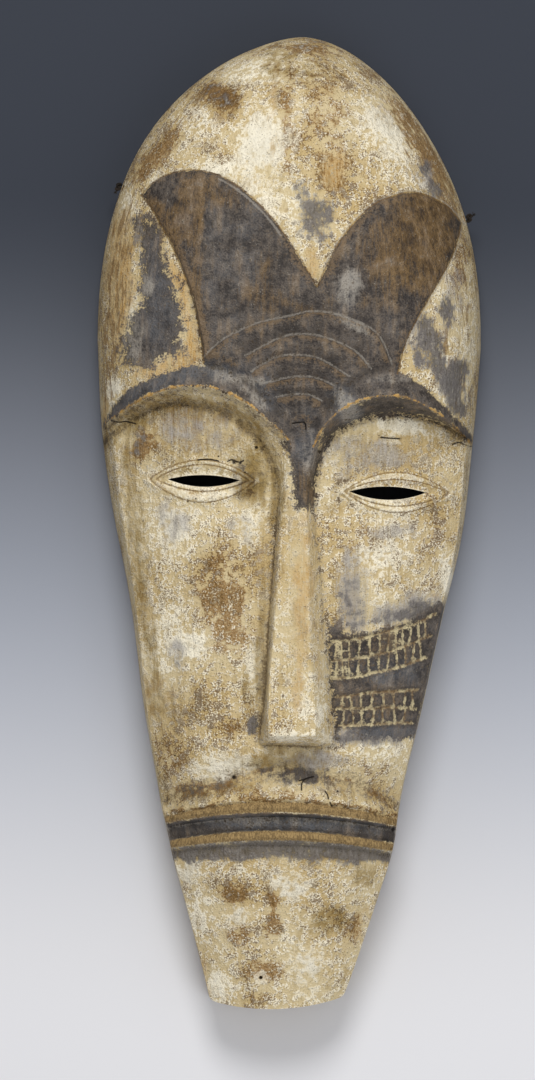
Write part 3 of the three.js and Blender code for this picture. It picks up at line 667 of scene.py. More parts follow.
# %% Relief of the forehead
STEP_RUN = 1.4
PANEL_RAISE, PANEL_SIDE_RAISE = 1.8, 2.4
PANEL_RISE_RUN = 9.0
BROW_RAISE, BROW_VALLEY, VALLEY_RUN = 2.6, 1.0, 7.0
BRIDGE_X = 9.0
FAN_RAISE, FAN_STEP_RUN, FAN_BACK_RUN = 2.1, 1.4, 9.0
UNDERCUT_BEND = 1.25
RIDGE_ROUND = 1.6
CARVING_FADE = 18.0
NOSE_TILT = 2.2
SIDE_FADE_START, SIDE_FADE_END = 2.0, 26.0


def above_rib(rib, x, y):
    """How far a point lies above a rib of the fan; far above it where the rib has ended."""
    over = y > np.interp(x, rib[:, 0], rib[:, 1])
    ended = (x <= rib[0, 0]) | (x >= rib[-1, 0])
    return np.where(ended, BEYOND, distance(rib, x, y) * np.where(over, 1.0, -1.0))


def panel_relief(x, y):
    side = smooth(-15.0, -55.0, x) * smooth(205.0, 130.0, y)
    relief = (PANEL_RAISE + PANEL_SIDE_RAISE * side) * np.clip(distance(panel_edge, x, y) / STEP_RUN, 0, 1)
    for rib in fan_ribs:
        below = np.maximum(-above_rib(rib, x, y), 0.0)
        rise = FAN_RAISE * np.clip(below / FAN_STEP_RUN, 0, 1)
        relief = relief + rise * np.clip(1 - below / FAN_BACK_RUN, 0, 1)
    return relief


def brow_fade(x):
    """The brows sink into the middle of the forehead, over the nose."""
    return smooth(4.0, 26.0, np.abs(x - BRIDGE_X))


def forehead_relief(x, y):
    to_top = np.minimum(distance(brow_top_left, x, y), distance(brow_top_right, x, y))
    to_ridge = distance(ridge, x, y)
    valley = BROW_VALLEY * brow_fade(x)
    up_slope = -valley * (1.0 - smooth(0.0, VALLEY_RUN, to_top))
    share = to_ridge / (to_ridge + to_top + 1e-9)
    on_brow = BROW_RAISE * brow_fade(x) * (1.0 - share) - valley * share
    in_brow = inside(brow_left, x, y) | inside(brow_right, x, y)
    plain = np.where(in_brow, on_brow, up_slope)
    on_panel = up_slope + panel_relief(x, y) * smooth(0.0, PANEL_RISE_RUN, to_top)
    return np.where(inside(panel, x, y), on_panel, plain)


# %% Relief of the eyes, the mouth and the cut lines
EYE_RAISE, EYE_STEP_RUN, EYE_SINK = 2.2, 2.4, 1.8
LID_GROOVE, LID_GROOVE_HALF = 0.9, 1.0
EYE_REACH = 60.0
LID_RAISE_END, RIM_SINK_START = 1.04, 0.55
RING_POINTS = 241
# The two lines cut round an eye: the almond that each follows, and how much larger or smaller it is.
EYE_CUTS = (("lid", 0.9), ("rim", 1.06))
SCAR_DEPTH, SCAR_HALF_WIDTH = 0.9, 1.3
TICK_DEPTH, TICK_HALF_WIDTH = 0.55, 0.75
SCARS_LEFT_X, SCARS_TOP_Y, SCARS_END_Y = 24.0, -48.0, -136.0


def groove(depth, half, away):
    """A V-shaped cut, seen from how far away its line is."""
    return -depth * np.clip(1.0 - away / half, 0.0, 1.0)


def almond(eye, part, x, y):
    """How far out in an almond of an eye a point is: 1 on its outline."""
    length, up, down = eye[part]
    across = np.abs(x - eye["x"]) / length
    tall = np.where(y > eye["y"], up, down) * np.maximum(1.0 - across * across, 1e-6)
    return np.where(across >= 1.0, 1.0 + (across - 1.0) * length, np.abs(y - eye["y"]) / tall)


def almond_ring(eye, part, grow):
    length, up, down = eye[part]
    turn = np.linspace(0.0, 2.0 * math.pi, RING_POINTS)
    tall = np.sin(turn) * np.abs(np.sin(turn)) * np.where(turn < math.pi, up, down)
    ring = np.column_stack([eye["x"] + np.cos(turn) * length * grow, eye["y"] + tall * grow])
    return evenly(ring, 1.0)


def eye_relief(x, y):
    relief = np.zeros(np.shape(x))
    for eye in eyes:
        near = np.hypot(x - eye["x"], y - eye["y"]) < EYE_REACH
        ex, ey = x[near], y[near]
        lid, rim = almond(eye, "lid", ex, ey), almond(eye, "rim", ex, ey)
        raised = EYE_RAISE * (1.0 - smooth(1.0 - EYE_STEP_RUN / eye["lid"][1], LID_RAISE_END, lid))
        sunk = EYE_SINK * (1.0 - smooth(RIM_SINK_START, 1.0, rim))
        cuts = sum(
            groove(LID_GROOVE, LID_GROOVE_HALF, distance(almond_ring(eye, part, grow), ex, ey))
            for part, grow in EYE_CUTS
        )
        relief[near] += raised - sunk + cuts
    return relief


def mouth_line_y(y, drop, x):
    return y - drop * np.minimum(1.2, np.abs(x) / MOUTH_HALF_WIDTH) ** 2


def mouth_relief(x, y):
    relief = np.zeros(np.shape(x))
    rows = [mouth_line_y(at, drop, x) for at, drop, _ in mouth_lines]
    for i in range(1, len(rows)):
        here = (y <= rows[i - 1]) & (y > rows[i])
        t = smooth(rows[i - 1], rows[i], y)
        between = mouth_lines[i - 1][2] * (1.0 - t) + mouth_lines[i][2] * t
        relief = np.where(here, between, relief)
    return relief


def ticks_between(upper, lower, places):
    """Short cuts from one long cut down to the next, at these places along x."""
    tops = np.interp(places, upper[:, 0], upper[:, 1])
    ends = np.interp(places, lower[:, 0], lower[:, 1])
    lean = np.where(np.arange(len(places)) % 3 == 0, 0.6, -0.3)
    return [
        evenly(np.array([[x + shift, top], [x - shift, end]]), 1.0)
        for x, top, end, shift in zip(places, tops, ends, lean)
    ]


# The short cuts below each long cut, counted from the top, by their places along x.
tick_places = {
    0: (32.5, 36, 41, 47.5, 54, 60.5, 66, 70.5, 75, 80, 85, 89.5),
    1: (33, 37, 41, 47, 53.5, 60, 66, 71.5, 77, 82, 86.5),
    3: (37, 43, 49, 56, 63.5, 70, 77, 82),
    4: (38, 44, 49.5, 57, 63, 70.5, 77),
}
ticks = []
for row, places in tick_places.items():
    ticks += ticks_between(scars[row], scars[row + 1], np.array(places))


def scar_relief(x, y):
    relief = np.zeros(np.shape(x))
    near = (x > SCARS_LEFT_X) & (y < SCARS_TOP_Y) & (y > SCARS_END_Y)
    nx, ny = x[near], y[near]
    cuts = np.zeros(nx.shape)
    for cut_lines, depth, half in (
        (scars, SCAR_DEPTH, SCAR_HALF_WIDTH),
        (ticks, TICK_DEPTH, TICK_HALF_WIDTH),
    ):
        for points in cut_lines:
            cuts = np.minimum(cuts, groove(depth, half, distance(points, nx, ny)))
    relief[near] = cuts
    return relief


print(len(ticks), "short cuts between the long ones")

# %% [markdown]
# ## Age and use
# Cracks, worm holes, a nail hole and small knocks are cut into the same surface. The blade also left
# long shallow facets along the grain. They are under half a millimetre deep, yet they break up the
# light on the broad plain areas.

# %% Cracks, holes and tool marks
CRACK_DEPTH, CRACK_HALF_WIDTH = 1.0, 0.6
cracks = [
    line((-113, 63), (-108, 62), (-103, 62.5), (-97, 61), step=1.0),
    line((59, 54.6), (65, 54.2), (71, 54), step=1.0),
    line((105, 51), (109, 52.5), (113, 51), (118, 50), step=1.0),
    line((10.5, -164.5), (13, -164), (16, -162.8), (19.5, -161.8), step=1.0),
    line((13, -164.5), (12, -167), (12.1, -170.5), step=1.0),
    line((27, -171), (28.5, -173), (29.2, -175.5), step=1.0),
    line((30.2, -178), (31.5, -180.5), step=1.0),
    line((3, 62.5), (7, 63.2), (10.5, 63), (11.2, 59), step=1.0),
    line((-57, 38.5), (-50, 39), (-44, 38), step=1.0),
    line((-38, 38), (-35, 39), (-31, 37.5), (-28, 38.5), step=1.0),
]
flute = line((14.5, 27), (15, 14), (15.5, -8), step=1.0)
FLUTE_DEPTH, FLUTE_HALF_WIDTH = 1.3, 2.6
# Each kind of tool mark: how deep it is, its size across and along the wood, and a seed.
TOOL_MARKS = ((0.5, 26.0, 60.0, 3.1), (0.32, 7.0, 34.0, 8.4), (0.14, 3.4, 7.0, 5.7))
MARKS_SINK = 0.35

# Small round holes: x, y, radius and depth.
pits = [
    (-12, -291, 1.3, 3.0), (-34, 37.5, 1.5, 1.5), (-30, 37, 0.9, 1.2), (20, 45, 1.5, 2.0),
    (-20, 47, 1.2, 1.4), (-31, -163, 1.6, 1.8), (-44, 41, 0.7, 0.8), (-27, 31, 0.7, 0.8),
    (35, -171, 0.8, 1.0), (-63, 12, 0.7, 0.8), (-58, 14, 0.6, 0.7), (-69, -150, 0.8, 0.9),
]


def marks_relief(x, y):
    relief = groove(FLUTE_DEPTH, FLUTE_HALF_WIDTH, distance(flute, x, y))
    for crack in cracks:
        relief = np.minimum(relief, groove(CRACK_DEPTH, CRACK_HALF_WIDTH, distance(crack, x, y)))
    for pit_x, pit_y, radius, depth in pits:
        away = np.hypot(x - pit_x, y - pit_y) / radius
        relief = np.minimum(relief, -depth * (1.0 - smooth(0.5, 1.0, away)))
    return relief


def wander(x, y, across, along, seed):
    """A smooth random surface from -1 to 1, with bumps about so many millimetres across and along."""
    return np.array([noise.noise((a / across, b / along, seed)) for a, b in zip(x, y)])


def tool_marks(x, y):
    marks = (depth * wander(x, y, *size_and_seed) for depth, *size_and_seed in TOOL_MARKS)
    return sum(marks) - MARKS_SINK


def front(x, y):
    """Height of the carved front over the plane of the rim."""
    tilt = NOSE_TILT * smooth(16.0, -9.0, x) * smooth(50.0, 10.0, y) * smooth(-150.0, -120.0, y)
    uncarved = block(x, y) - tilt
    fade = smooth(0.0, CARVING_FADE, uncarved)
    cut = np.minimum(uncarved, face(x, y))
    on_side = smooth(edge_height(y) - SIDE_FADE_END, edge_height(y) - SIDE_FADE_START, cut)
    plane = cut + eye_relief(x, y) + (mouth_relief(x, y) + scar_relief(x, y)) * on_side
    to_ridge, to_foot = distance(ridge, x, y), distance(foot, x, y)
    to_ridge = np.hypot(to_ridge, RIDGE_ROUND) - RIDGE_ROUND
    share = (to_foot / (to_ridge + to_foot + 1e-9)) ** UNDERCUT_BEND
    over = uncarved + np.where(y > SOCKET_Y, BROW_RAISE * brow_fade(x) * fade, 0.0)
    scooped = plane + (over - plane) * share
    height = np.where(inside(unscooped, x, y), scooped, plane)
    height = np.where(inside(uncut, x, y), uncarved + forehead_relief(x, y) * fade, height)
    return height + (marks_relief(x, y) + tool_marks(x, y)) * fade


# %% [markdown]
# ## Points, then triangles
# The surface is laid out flat along lines from the middle to the rim, so that the steep sides get as
# much room as they need. Points follow the cut lines closely and fill the plain wood loosely, and
# Delaunay triangulation joins them. That spends the faces where the carving is.

# %% Ribs from the middle line to the rim
RIB_STEP = 2.0
GROUND_STEP = 2.0
LINE_STEP = 1.3
CROWN_ARC, CHIN_ARC = 540.0, 220.0
SAMPLES = 120
HALVINGS = 40
# Points keep these distances on the rim and on plain wood, and none on a line passes the last level.
RIM_GAP, GROUND_GAP = 0.6, 1.35
LAST_LEVEL = 0.992
SPREAD_CELL = 2.4


def circle(count):
    """Points evenly round a circle of radius 1."""
    turn = np.linspace(0.0, 2.0 * math.pi, count + 1)[:-1]
    return np.column_stack([np.cos(turn), np.sin(turn)])


def anchor(y):
    at = np.clip(y, CHIN_FAN_Y, WIDEST_Y)
    return np.column_stack([middle(at), at])


def reach(start, angle):
    """How far the mask reaches from each start in one direction."""
    near, far = np.zeros(len(start)), np.full(len(start), 2.0 * CROWN_Y)
    for _ in range(HALVINGS):
        half = (near + far) / 2.0
        over = level(start[:, 0] + half * np.cos(angle), start[:, 1] + half * np.sin(angle)) > 1.0
        near, far = np.where(over, near, half), np.where(over, half, far)
    return near


def make_ribs():
    """Starts, angles and how close to its start each rib is filled."""
    steps = round((WIDEST_Y - CHIN_FAN_Y) / RIB_STEP)
    heights = CHIN_FAN_Y + (WIDEST_Y - CHIN_FAN_Y) * (np.arange(steps) + 0.5) / steps
    starts, angles, stops = [], [], []

    def add(heights_of, angles_of, stops_of):
        starts.append(anchor(heights_of))
        angles.append(angles_of)
        stops.append(stops_of)

    def fan(y, start, arc):
        count = round(arc / RIB_STEP)
        turn = start + math.pi * np.arange(count + 1) / count
        halvings = [min(5, (i & -i).bit_length() - 1) if i else 5 for i in range(count + 1)]
        add(np.full(count + 1, y), turn, 0.5 ** np.array(halvings) * 0.8)

    add(heights, np.zeros(steps), np.zeros(steps))
    fan(WIDEST_Y, 0.0, CROWN_ARC)
    add(heights[::-1], np.full(steps, math.pi), np.zeros(steps))
    fan(CHIN_FAN_Y, math.pi, CHIN_ARC)
    return np.vstack(starts), np.concatenate(angles), np.concatenate(stops)


rib_start, rib_angle, rib_stop = make_ribs()
rib_length = reach(rib_start, rib_angle)
rib_way = np.column_stack([np.cos(rib_angle), np.sin(rib_angle)])
rim = rib_start + rib_way * rib_length[:, None]
apart = np.linalg.norm(rim - np.roll(rim, -1, axis=0), axis=1) > RIM_GAP
rib_start, rib_stop, rib_length, rib_way, rim = (
    each[apart] for each in (rib_start, rib_stop, rib_length, rib_way, rim)
)
print(len(rim), "ribs")


# %% Lay the front out flat
def unroll(start, end, samples=SAMPLES):
    """Distance over the block from each start to each end, at evenly spaced shares of the way."""
    t = np.linspace(0.0, 1.0, samples + 1)
    x = start[:, :1] + (end - start)[:, :1] * t
    y = start[:, 1:] + (end - start)[:, 1:] * t
    away = np.linalg.norm(end - start, axis=1)[:, None] / samples
    run = np.hypot(away, np.diff(block(x, y), axis=1))
    return np.concatenate([np.zeros((len(start), 1)), np.cumsum(run, axis=1)], axis=1)


def flat_places(points):
    start = anchor(points[:, 1])
    away = np.linalg.norm(points - start, axis=1)[:, None]
    run = unroll(start, points, 60)[:, -1:]
    return start + (points - start) / np.maximum(away, 1e-9) * run


class Spread:
    """Keeps points that stay clear of each other, found again by the square cell that they are in."""

    def __init__(self, cell):
        self.cell = cell
        self.cells = {}
        self.kept = []

    def add(self, flat, places, gap):
        for (u, v), place in zip(flat.tolist(), places.tolist()):
            i, j = math.floor(u / self.cell), math.floor(v / self.cell)
            near = (
                other
                for a in (i - 1, i, i + 1)
                for b in (j - 1, j, j + 1)
                for other in self.cells.get((a, b), ())
            )
            if all((u - p) ** 2 + (v - q) ** 2 >= gap * gap for p, q in near):
                self.cells.setdefault((i, j), []).append((u, v))
                self.kept.append((u, v, *place))


rib_run = unroll(rib_start, rim)
rim_flat = rib_start + rib_way * rib_run[:, -1:]
spread = Spread(SPREAD_CELL)
spread.add(rim_flat, rim, 0.0)


def carve_along(lines, offsets, gap, step=LINE_STEP):
    points = np.vstack([beside(evenly(points, step), offset) for points in lines for offset in offsets])
    points = points[level(points[:, 0], points[:, 1]) < LAST_LEVEL]
    spread.add(flat_places(points), points, gap)


def face_edge(side):
    y = np.arange(CHIN_START_Y - 40.0, 52.0, LINE_STEP)
    return np.column_stack([middle(y) + side * edge_reach(side, y), y])


def mouth_row(y, drop):
    reach_at = edge_reach(1, np.array(y - drop))
    x = np.arange(-reach_at - 1.0, reach_at + 1.0, LINE_STEP)
    return np.column_stack([x, mouth_line_y(y, drop, x)])


rings = [almond_ring(eye, "lid", grow) for eye in eyes for grow in (1.05, 0.97, 0.9, 0.83)]
rings += [almond_ring(eye, "rim", grow) for eye in eyes for grow in (1.14, 1.06, 0.98, 0.8, 0.6)]
ridge_shown = ridge[(np.abs(ridge[:, 0]) < high[0] - 1.0) | (ridge[:, 1] < SOCKET_Y)]
carve_along(ticks, (0.0, -TICK_HALF_WIDTH, TICK_HALF_WIDTH), 0.45, 0.9)
carve_along(scars, (0.0, -0.65, 0.65, -SCAR_HALF_WIDTH, SCAR_HALF_WIDTH), 0.45, 0.9)
carve_along(cracks, (0.0, -CRACK_HALF_WIDTH, CRACK_HALF_WIDTH), 0.4, 0.8)
carve_along([face_edge(-1), face_edge(1)], (0.0, -0.8, 0.8), 0.55)
carve_along([ridge_shown, foot], (0.0, -0.6, 0.6, -1.5, 1.5), 0.5)
carve_along([brow_top_left, brow_top_right], (0.0, -1.0, 1.0), 0.6)
carve_along([panel_edge], (0.1, -0.7, -STEP_RUN, 0.9), 0.5)
carve_along([light_top], (0.0, -0.8), 0.5)
carve_along(fan_ribs, (0.1, -0.8, -FAN_STEP_RUN, -3.2), 0.5)
carve_along(rings, (0.0,), 0.5, 0.9)
carve_along([mouth_row(y, drop) for y, drop, _ in mouth_lines], (0.0, -0.7, 0.7), 0.5)
carve_along([flute], (0.0, -1.3, 1.3, -2.6, 2.6), 0.6)
for pit_x, pit_y, radius, _ in pits:
    ring = circle(12) * radius
    for grow in (0.0, 0.5, 1.0):
        around = np.array([pit_x, pit_y]) + ring * grow
        spread.add(flat_places(around), around, 0.3)
on_lines = len(spread.kept)

for i in range(len(rim)):
    run = rib_run[i, -1] - GROUND_STEP * (np.arange(1, 200) + 0.5 * (i % 2))
    share = np.interp(run, rib_run[i], np.linspace(0.0, 1.0, SAMPLES + 1))
    keep = (run > 0.0) & (share > rib_stop[i])
    run, share = run[keep, None], share[keep, None]
    places = rib_start[i] + rib_way[i] * rib_length[i] * share
    spread.add(rib_start[i] + rib_way[i] * run, places, GROUND_GAP)
print(on_lines, "points on lines,", len(spread.kept), "in all")

# %% Triangles of the front
kept = np.array(spread.kept)
count = len(rim)
border = [(i, (i + 1) % count) for i in range(count)]
flat_points = [Vector((u, v)) for u, v in kept[:, :2].tolist()]
flat, _, front_faces, came_from, _, _ = delaunay_2d_cdt(flat_points, border, [], 1, 1e-6)
first_of = [group[0] for group in came_from]
front_faces = [[first_of[corner] for corner in corners] for corners in front_faces]
front_height = front(kept[:, 2], kept[:, 3])
front_height[:count] = 0.0
front_points = np.column_stack([kept[:, 2:], front_height])
print(len(front_faces), "triangles on the front, highest point", round(front_height.max(), 2))

# %% [markdown]
# ## The hollow
# Behind, the mask is hollowed with a gouge, and left rough. Its wall is thickest at the nose. The rim
# is flat, where the mask lies on the table.

# %% Hollow back and rim
WALL = 11.0
HOLLOW_SQUARENESS, HOLLOW_POWER = 3.2, 2.2
HOLLOW_STEPS = 26
SCOOP_DEPTH, SCOOP_SINK = 0.9, 0.6
# Gouge marks of two sizes, each across and along the wood, with a seed.
SCOOPS = ((8.0, 24.0, 1.9), (17.0, 30.0, 6.2))
hollow_height = curve(
    (-262, 42), (-240, 47), (-200, 57), (-165, 61), (-100, 68), (0, 72), (60, 78), (113, 88),
)


def hollow_points():
    """One row of points for each rib, from the middle of the hollow out to the flat rim."""
    turn = (math.pi / 2.0) * np.arange(HOLLOW_STEPS + 1) / HOLLOW_STEPS
    out = np.sin(turn) ** (2.0 / HOLLOW_SQUARENESS)
    up = np.clip(1.0 - out**HOLLOW_SQUARENESS, 0.0, 1.0) ** (1.0 / HOLLOW_POWER)
    up[-1] = 0.0
    inner = rib_way * (rib_length - WALL)[:, None]
    x = rib_start[:, :1] + inner[:, :1] * out
    y = rib_start[:, 1:] + inner[:, 1:] * out
    z = hollow_height(rib_start[:, 1:]) * up
    scoops = sum(wander(x.ravel(), y.ravel(), *scoop) for scoop in SCOOPS)
    z = z + SCOOP_DEPTH * (scoops.reshape(z.shape) - SCOOP_SINK) * smooth(0.0, 0.25, up)
    return np.stack([x, y, z], axis=2)


def quads(rows, first):
    """Faces between neighbouring rows of a closed grid whose first point has this number."""
    count, width = rows
    here = first + np.arange(count)[:, None] * width + np.arange(width - 1)
    after = first + ((np.arange(count) + 1) % count)[:, None] * width + np.arange(width - 1)
    return np.stack([here, here + 1, after + 1, after], axis=2).reshape(-1, 4).tolist()


hollow = hollow_points()
hollow_faces = quads(hollow.shape[:2], len(front_points))
inner_edge = len(front_points) + HOLLOW_STEPS + np.arange(count) * (HOLLOW_STEPS + 1)
rim_faces = np.column_stack([
    np.arange(count), np.roll(np.arange(count), -1), np.roll(inner_edge, -1), inner_edge,
]).tolist()


# %% [markdown]
# ## One closed solid
# Front, rim and hollow are joined into one solid. The two eye slits and the two cord holes are then
# cut right through it, as a knife and a hot iron went through the real wall.

# %% Join the sides and cut the holes
SLIT_STEPS = 24
CUT_LOW, CUT_HIGH = -10.0, 125.0
CORD_HOLE_RADIUS, CORD_HOLE_DEPTH, CORD_HOLE_OUTSIDE = 2.5, 40.0, 12.0
PAINTED, BARE = 0, 1


def make_mesh(name, points, faces, finish=0):
    mesh = bpy.data.meshes.new(name)
    mesh.from_pydata((np.asarray(points) * MM).tolist(), [], faces)
    mesh.polygons.foreach_set("material_index", np.full(len(faces), finish, np.int32))
    mesh.update()
    return mesh


def tidy_mesh(mesh, gap):
    """Joins points that lie together and turns all faces outwards."""
    work = bmesh.new()
    work.from_mesh(mesh)
    bmesh.ops.remove_doubles(work, verts=work.verts, dist=gap * MM)
    bmesh.ops.dissolve_degenerate(work, edges=work.edges, dist=1e-7)
    bmesh.ops.recalc_face_normals(work, faces=work.faces)
    work.to_mesh(mesh)
    work.free()


def prism(name, outline, place):
    """A closed solid through all the outline's points, placed by a function of outline and end."""
    size = len(outline)
    points = np.vstack([place(outline, 0.0), place(outline, 1.0)])
    sides = [(i, (i + 1) % size, (i + 1) % size + size, i + size) for i in range(size)]
    ends = [tuple(range(size)), tuple(range(size, 2 * size))]
    mesh = make_mesh(name, points, sides + ends, BARE)
    tidy_mesh(mesh, 0.01)
    return add_object(name, mesh)


def slit_outline(eye):
    length, up, down = eye["slit"]
    x, y = eye["slit_x"], eye["y"]
    t = np.linspace(0.0, 1.0, SLIT_STEPS + 1)[:-1, None]
    left, right = np.array([x - length, y]), np.array([x + length, y])
    over, under = np.array([x, y + 2 * up]), np.array([x, y - 2 * down])

    def bow(start, middle_point, end):
        return (1 - t) ** 2 * start + 2 * t * (1 - t) * middle_point + t * t * end

    return np.vstack([bow(left, over, right), bow(right, under, left)])


def upright(outline, end):
    height = CUT_LOW + (CUT_HIGH - CUT_LOW) * end
    return np.column_stack([outline, np.full(len(outline), height)])


def drilled(mouth, out):
    """Places a round outline along a hole that starts outside its mouth and runs inwards."""
    ahead = -np.array(out) / np.linalg.norm(out)
    aside = np.cross(ahead, (0.0, 0.0, 1.0))

    def place(outline, end):
        middle_point = np.array(mouth) + ahead * (CORD_HOLE_DEPTH * end - CORD_HOLE_OUTSIDE)
        return middle_point + outline[:, :1] * aside + outline[:, 1:] * np.array([0.0, 0.0, 1.0])

    return place


bore = CORD_HOLE_RADIUS * circle(24)
cutters = [prism("slit", slit_outline(eye), upright) for eye in eyes]
cutters.append(prism("hole", bore, drilled((-101.0, 210.2, 21.1), way_out["left"])))
cutters.append(prism("hole", bore, drilled((104.0, 195.2, 21.1), way_out["right"])))

all_points = np.vstack([front_points, hollow.reshape(-1, 3)])
body = make_mesh("mask_carving", all_points, front_faces + rim_faces + hollow_faces)
finish = np.full(len(body.polygons), BARE, np.int32)
finish[: len(front_faces)] = PAINTED
body.polygons.foreach_set("material_index", finish)
tidy_mesh(body, 0.02)
carving = add_object("mask_carving", body)
clay_finish, clay_nodes = new_material("worn_clay")
wood_finish, wood_nodes = new_material("hollow_wood")
for material in (clay_finish, wood_finish):
    body.materials.append(material)
for cutter in cutters:
    for material in body.materials:
        cutter.data.materials.append(material)
    cut_out = carving.modifiers.new("cut", "BOOLEAN")
    cut_out.operation = "DIFFERENCE"
    cut_out.solver = "MANIFOLD"
    cut_out.object = cutter
cut_mesh = settle(carving)
for cutter in cutters:
    bpy.data.objects.remove(cutter)
print(len(cut_mesh.vertices), "points,", sum(len(p.vertices) - 2 for p in cut_mesh.polygons), "triangles")

# %% [markdown]
# ## What is painted where
# The face was whitened with clay, and the leaves, the brows, one temple, the ground of the cut lines and
# the mouth were blackened. Use rubbed the high edges back to yellow wood, and damp left brown stains.
# Each pigment gets one number for every point of the surface: how much of it lies there.

# %% Blackened areas, with the painted shadow under the right brow
temple_left = np.array([
    (-101, 192), (-90, 194), (-82, 188), (-79, 166), (-73, 150), (-69, 137), (-67, 120), (-70, 106),
    (-83, 101), (-89, 97), (-106, 99), (-108, 112), (-106, 125), (-96, 135), (-95, 160), (-97, 180),
], float)
cut_ground = np.array([
    (27, -76), (29, -66), (34, -64), (40, -70), (55, -70), (70, -66), (84, -58), (98, -50), (106, -52),
    (100, -74), (93, -106), (86, -135), (75, -138), (52, -136), (39, -130), (34, -131), (31, -113),
], float)
bridge = np.array([
    (-12, 72), (1, 58), (-1, 48), (2, 38), (2.5, 27), (3.5, 16), (5, 8), (16, 8), (18, 16), (19, 27),
    (20, 40), (20, 52), (21, 58), (30, 72),
], float)


def band(upper, lower, reach_x=76.0):
    """The area between two mouth lines."""
    x = np.linspace(-reach_x, reach_x, 39)
    top = np.column_stack([x, mouth_line_y(*upper, x)])
    end = np.column_stack([x, mouth_line_y(*lower, x)])
    return np.vstack([top, end[::-1]])


# Under the right brow the dark is black paint and painted shadow together.
brow_under_right = np.vstack([
    brow_ridge_right[brow_ridge_right[:, 1] > 52.0],
    brow_foot_right[brow_foot_right[:, 1] > 42.0][::-1],
])
# Each area is an outline and how softly it ends, in millimetres.
blackened = [
    (panel, 0.7), (brow_left, 1.2), (brow_right, 1.2), (brow_under_right, 2.4), (bridge, 2.4),
    (temple_left, 4.4), (cut_ground, 2.4), (band((-184.8, 8.6), (-197.2, 8.5)), 0.9),
]

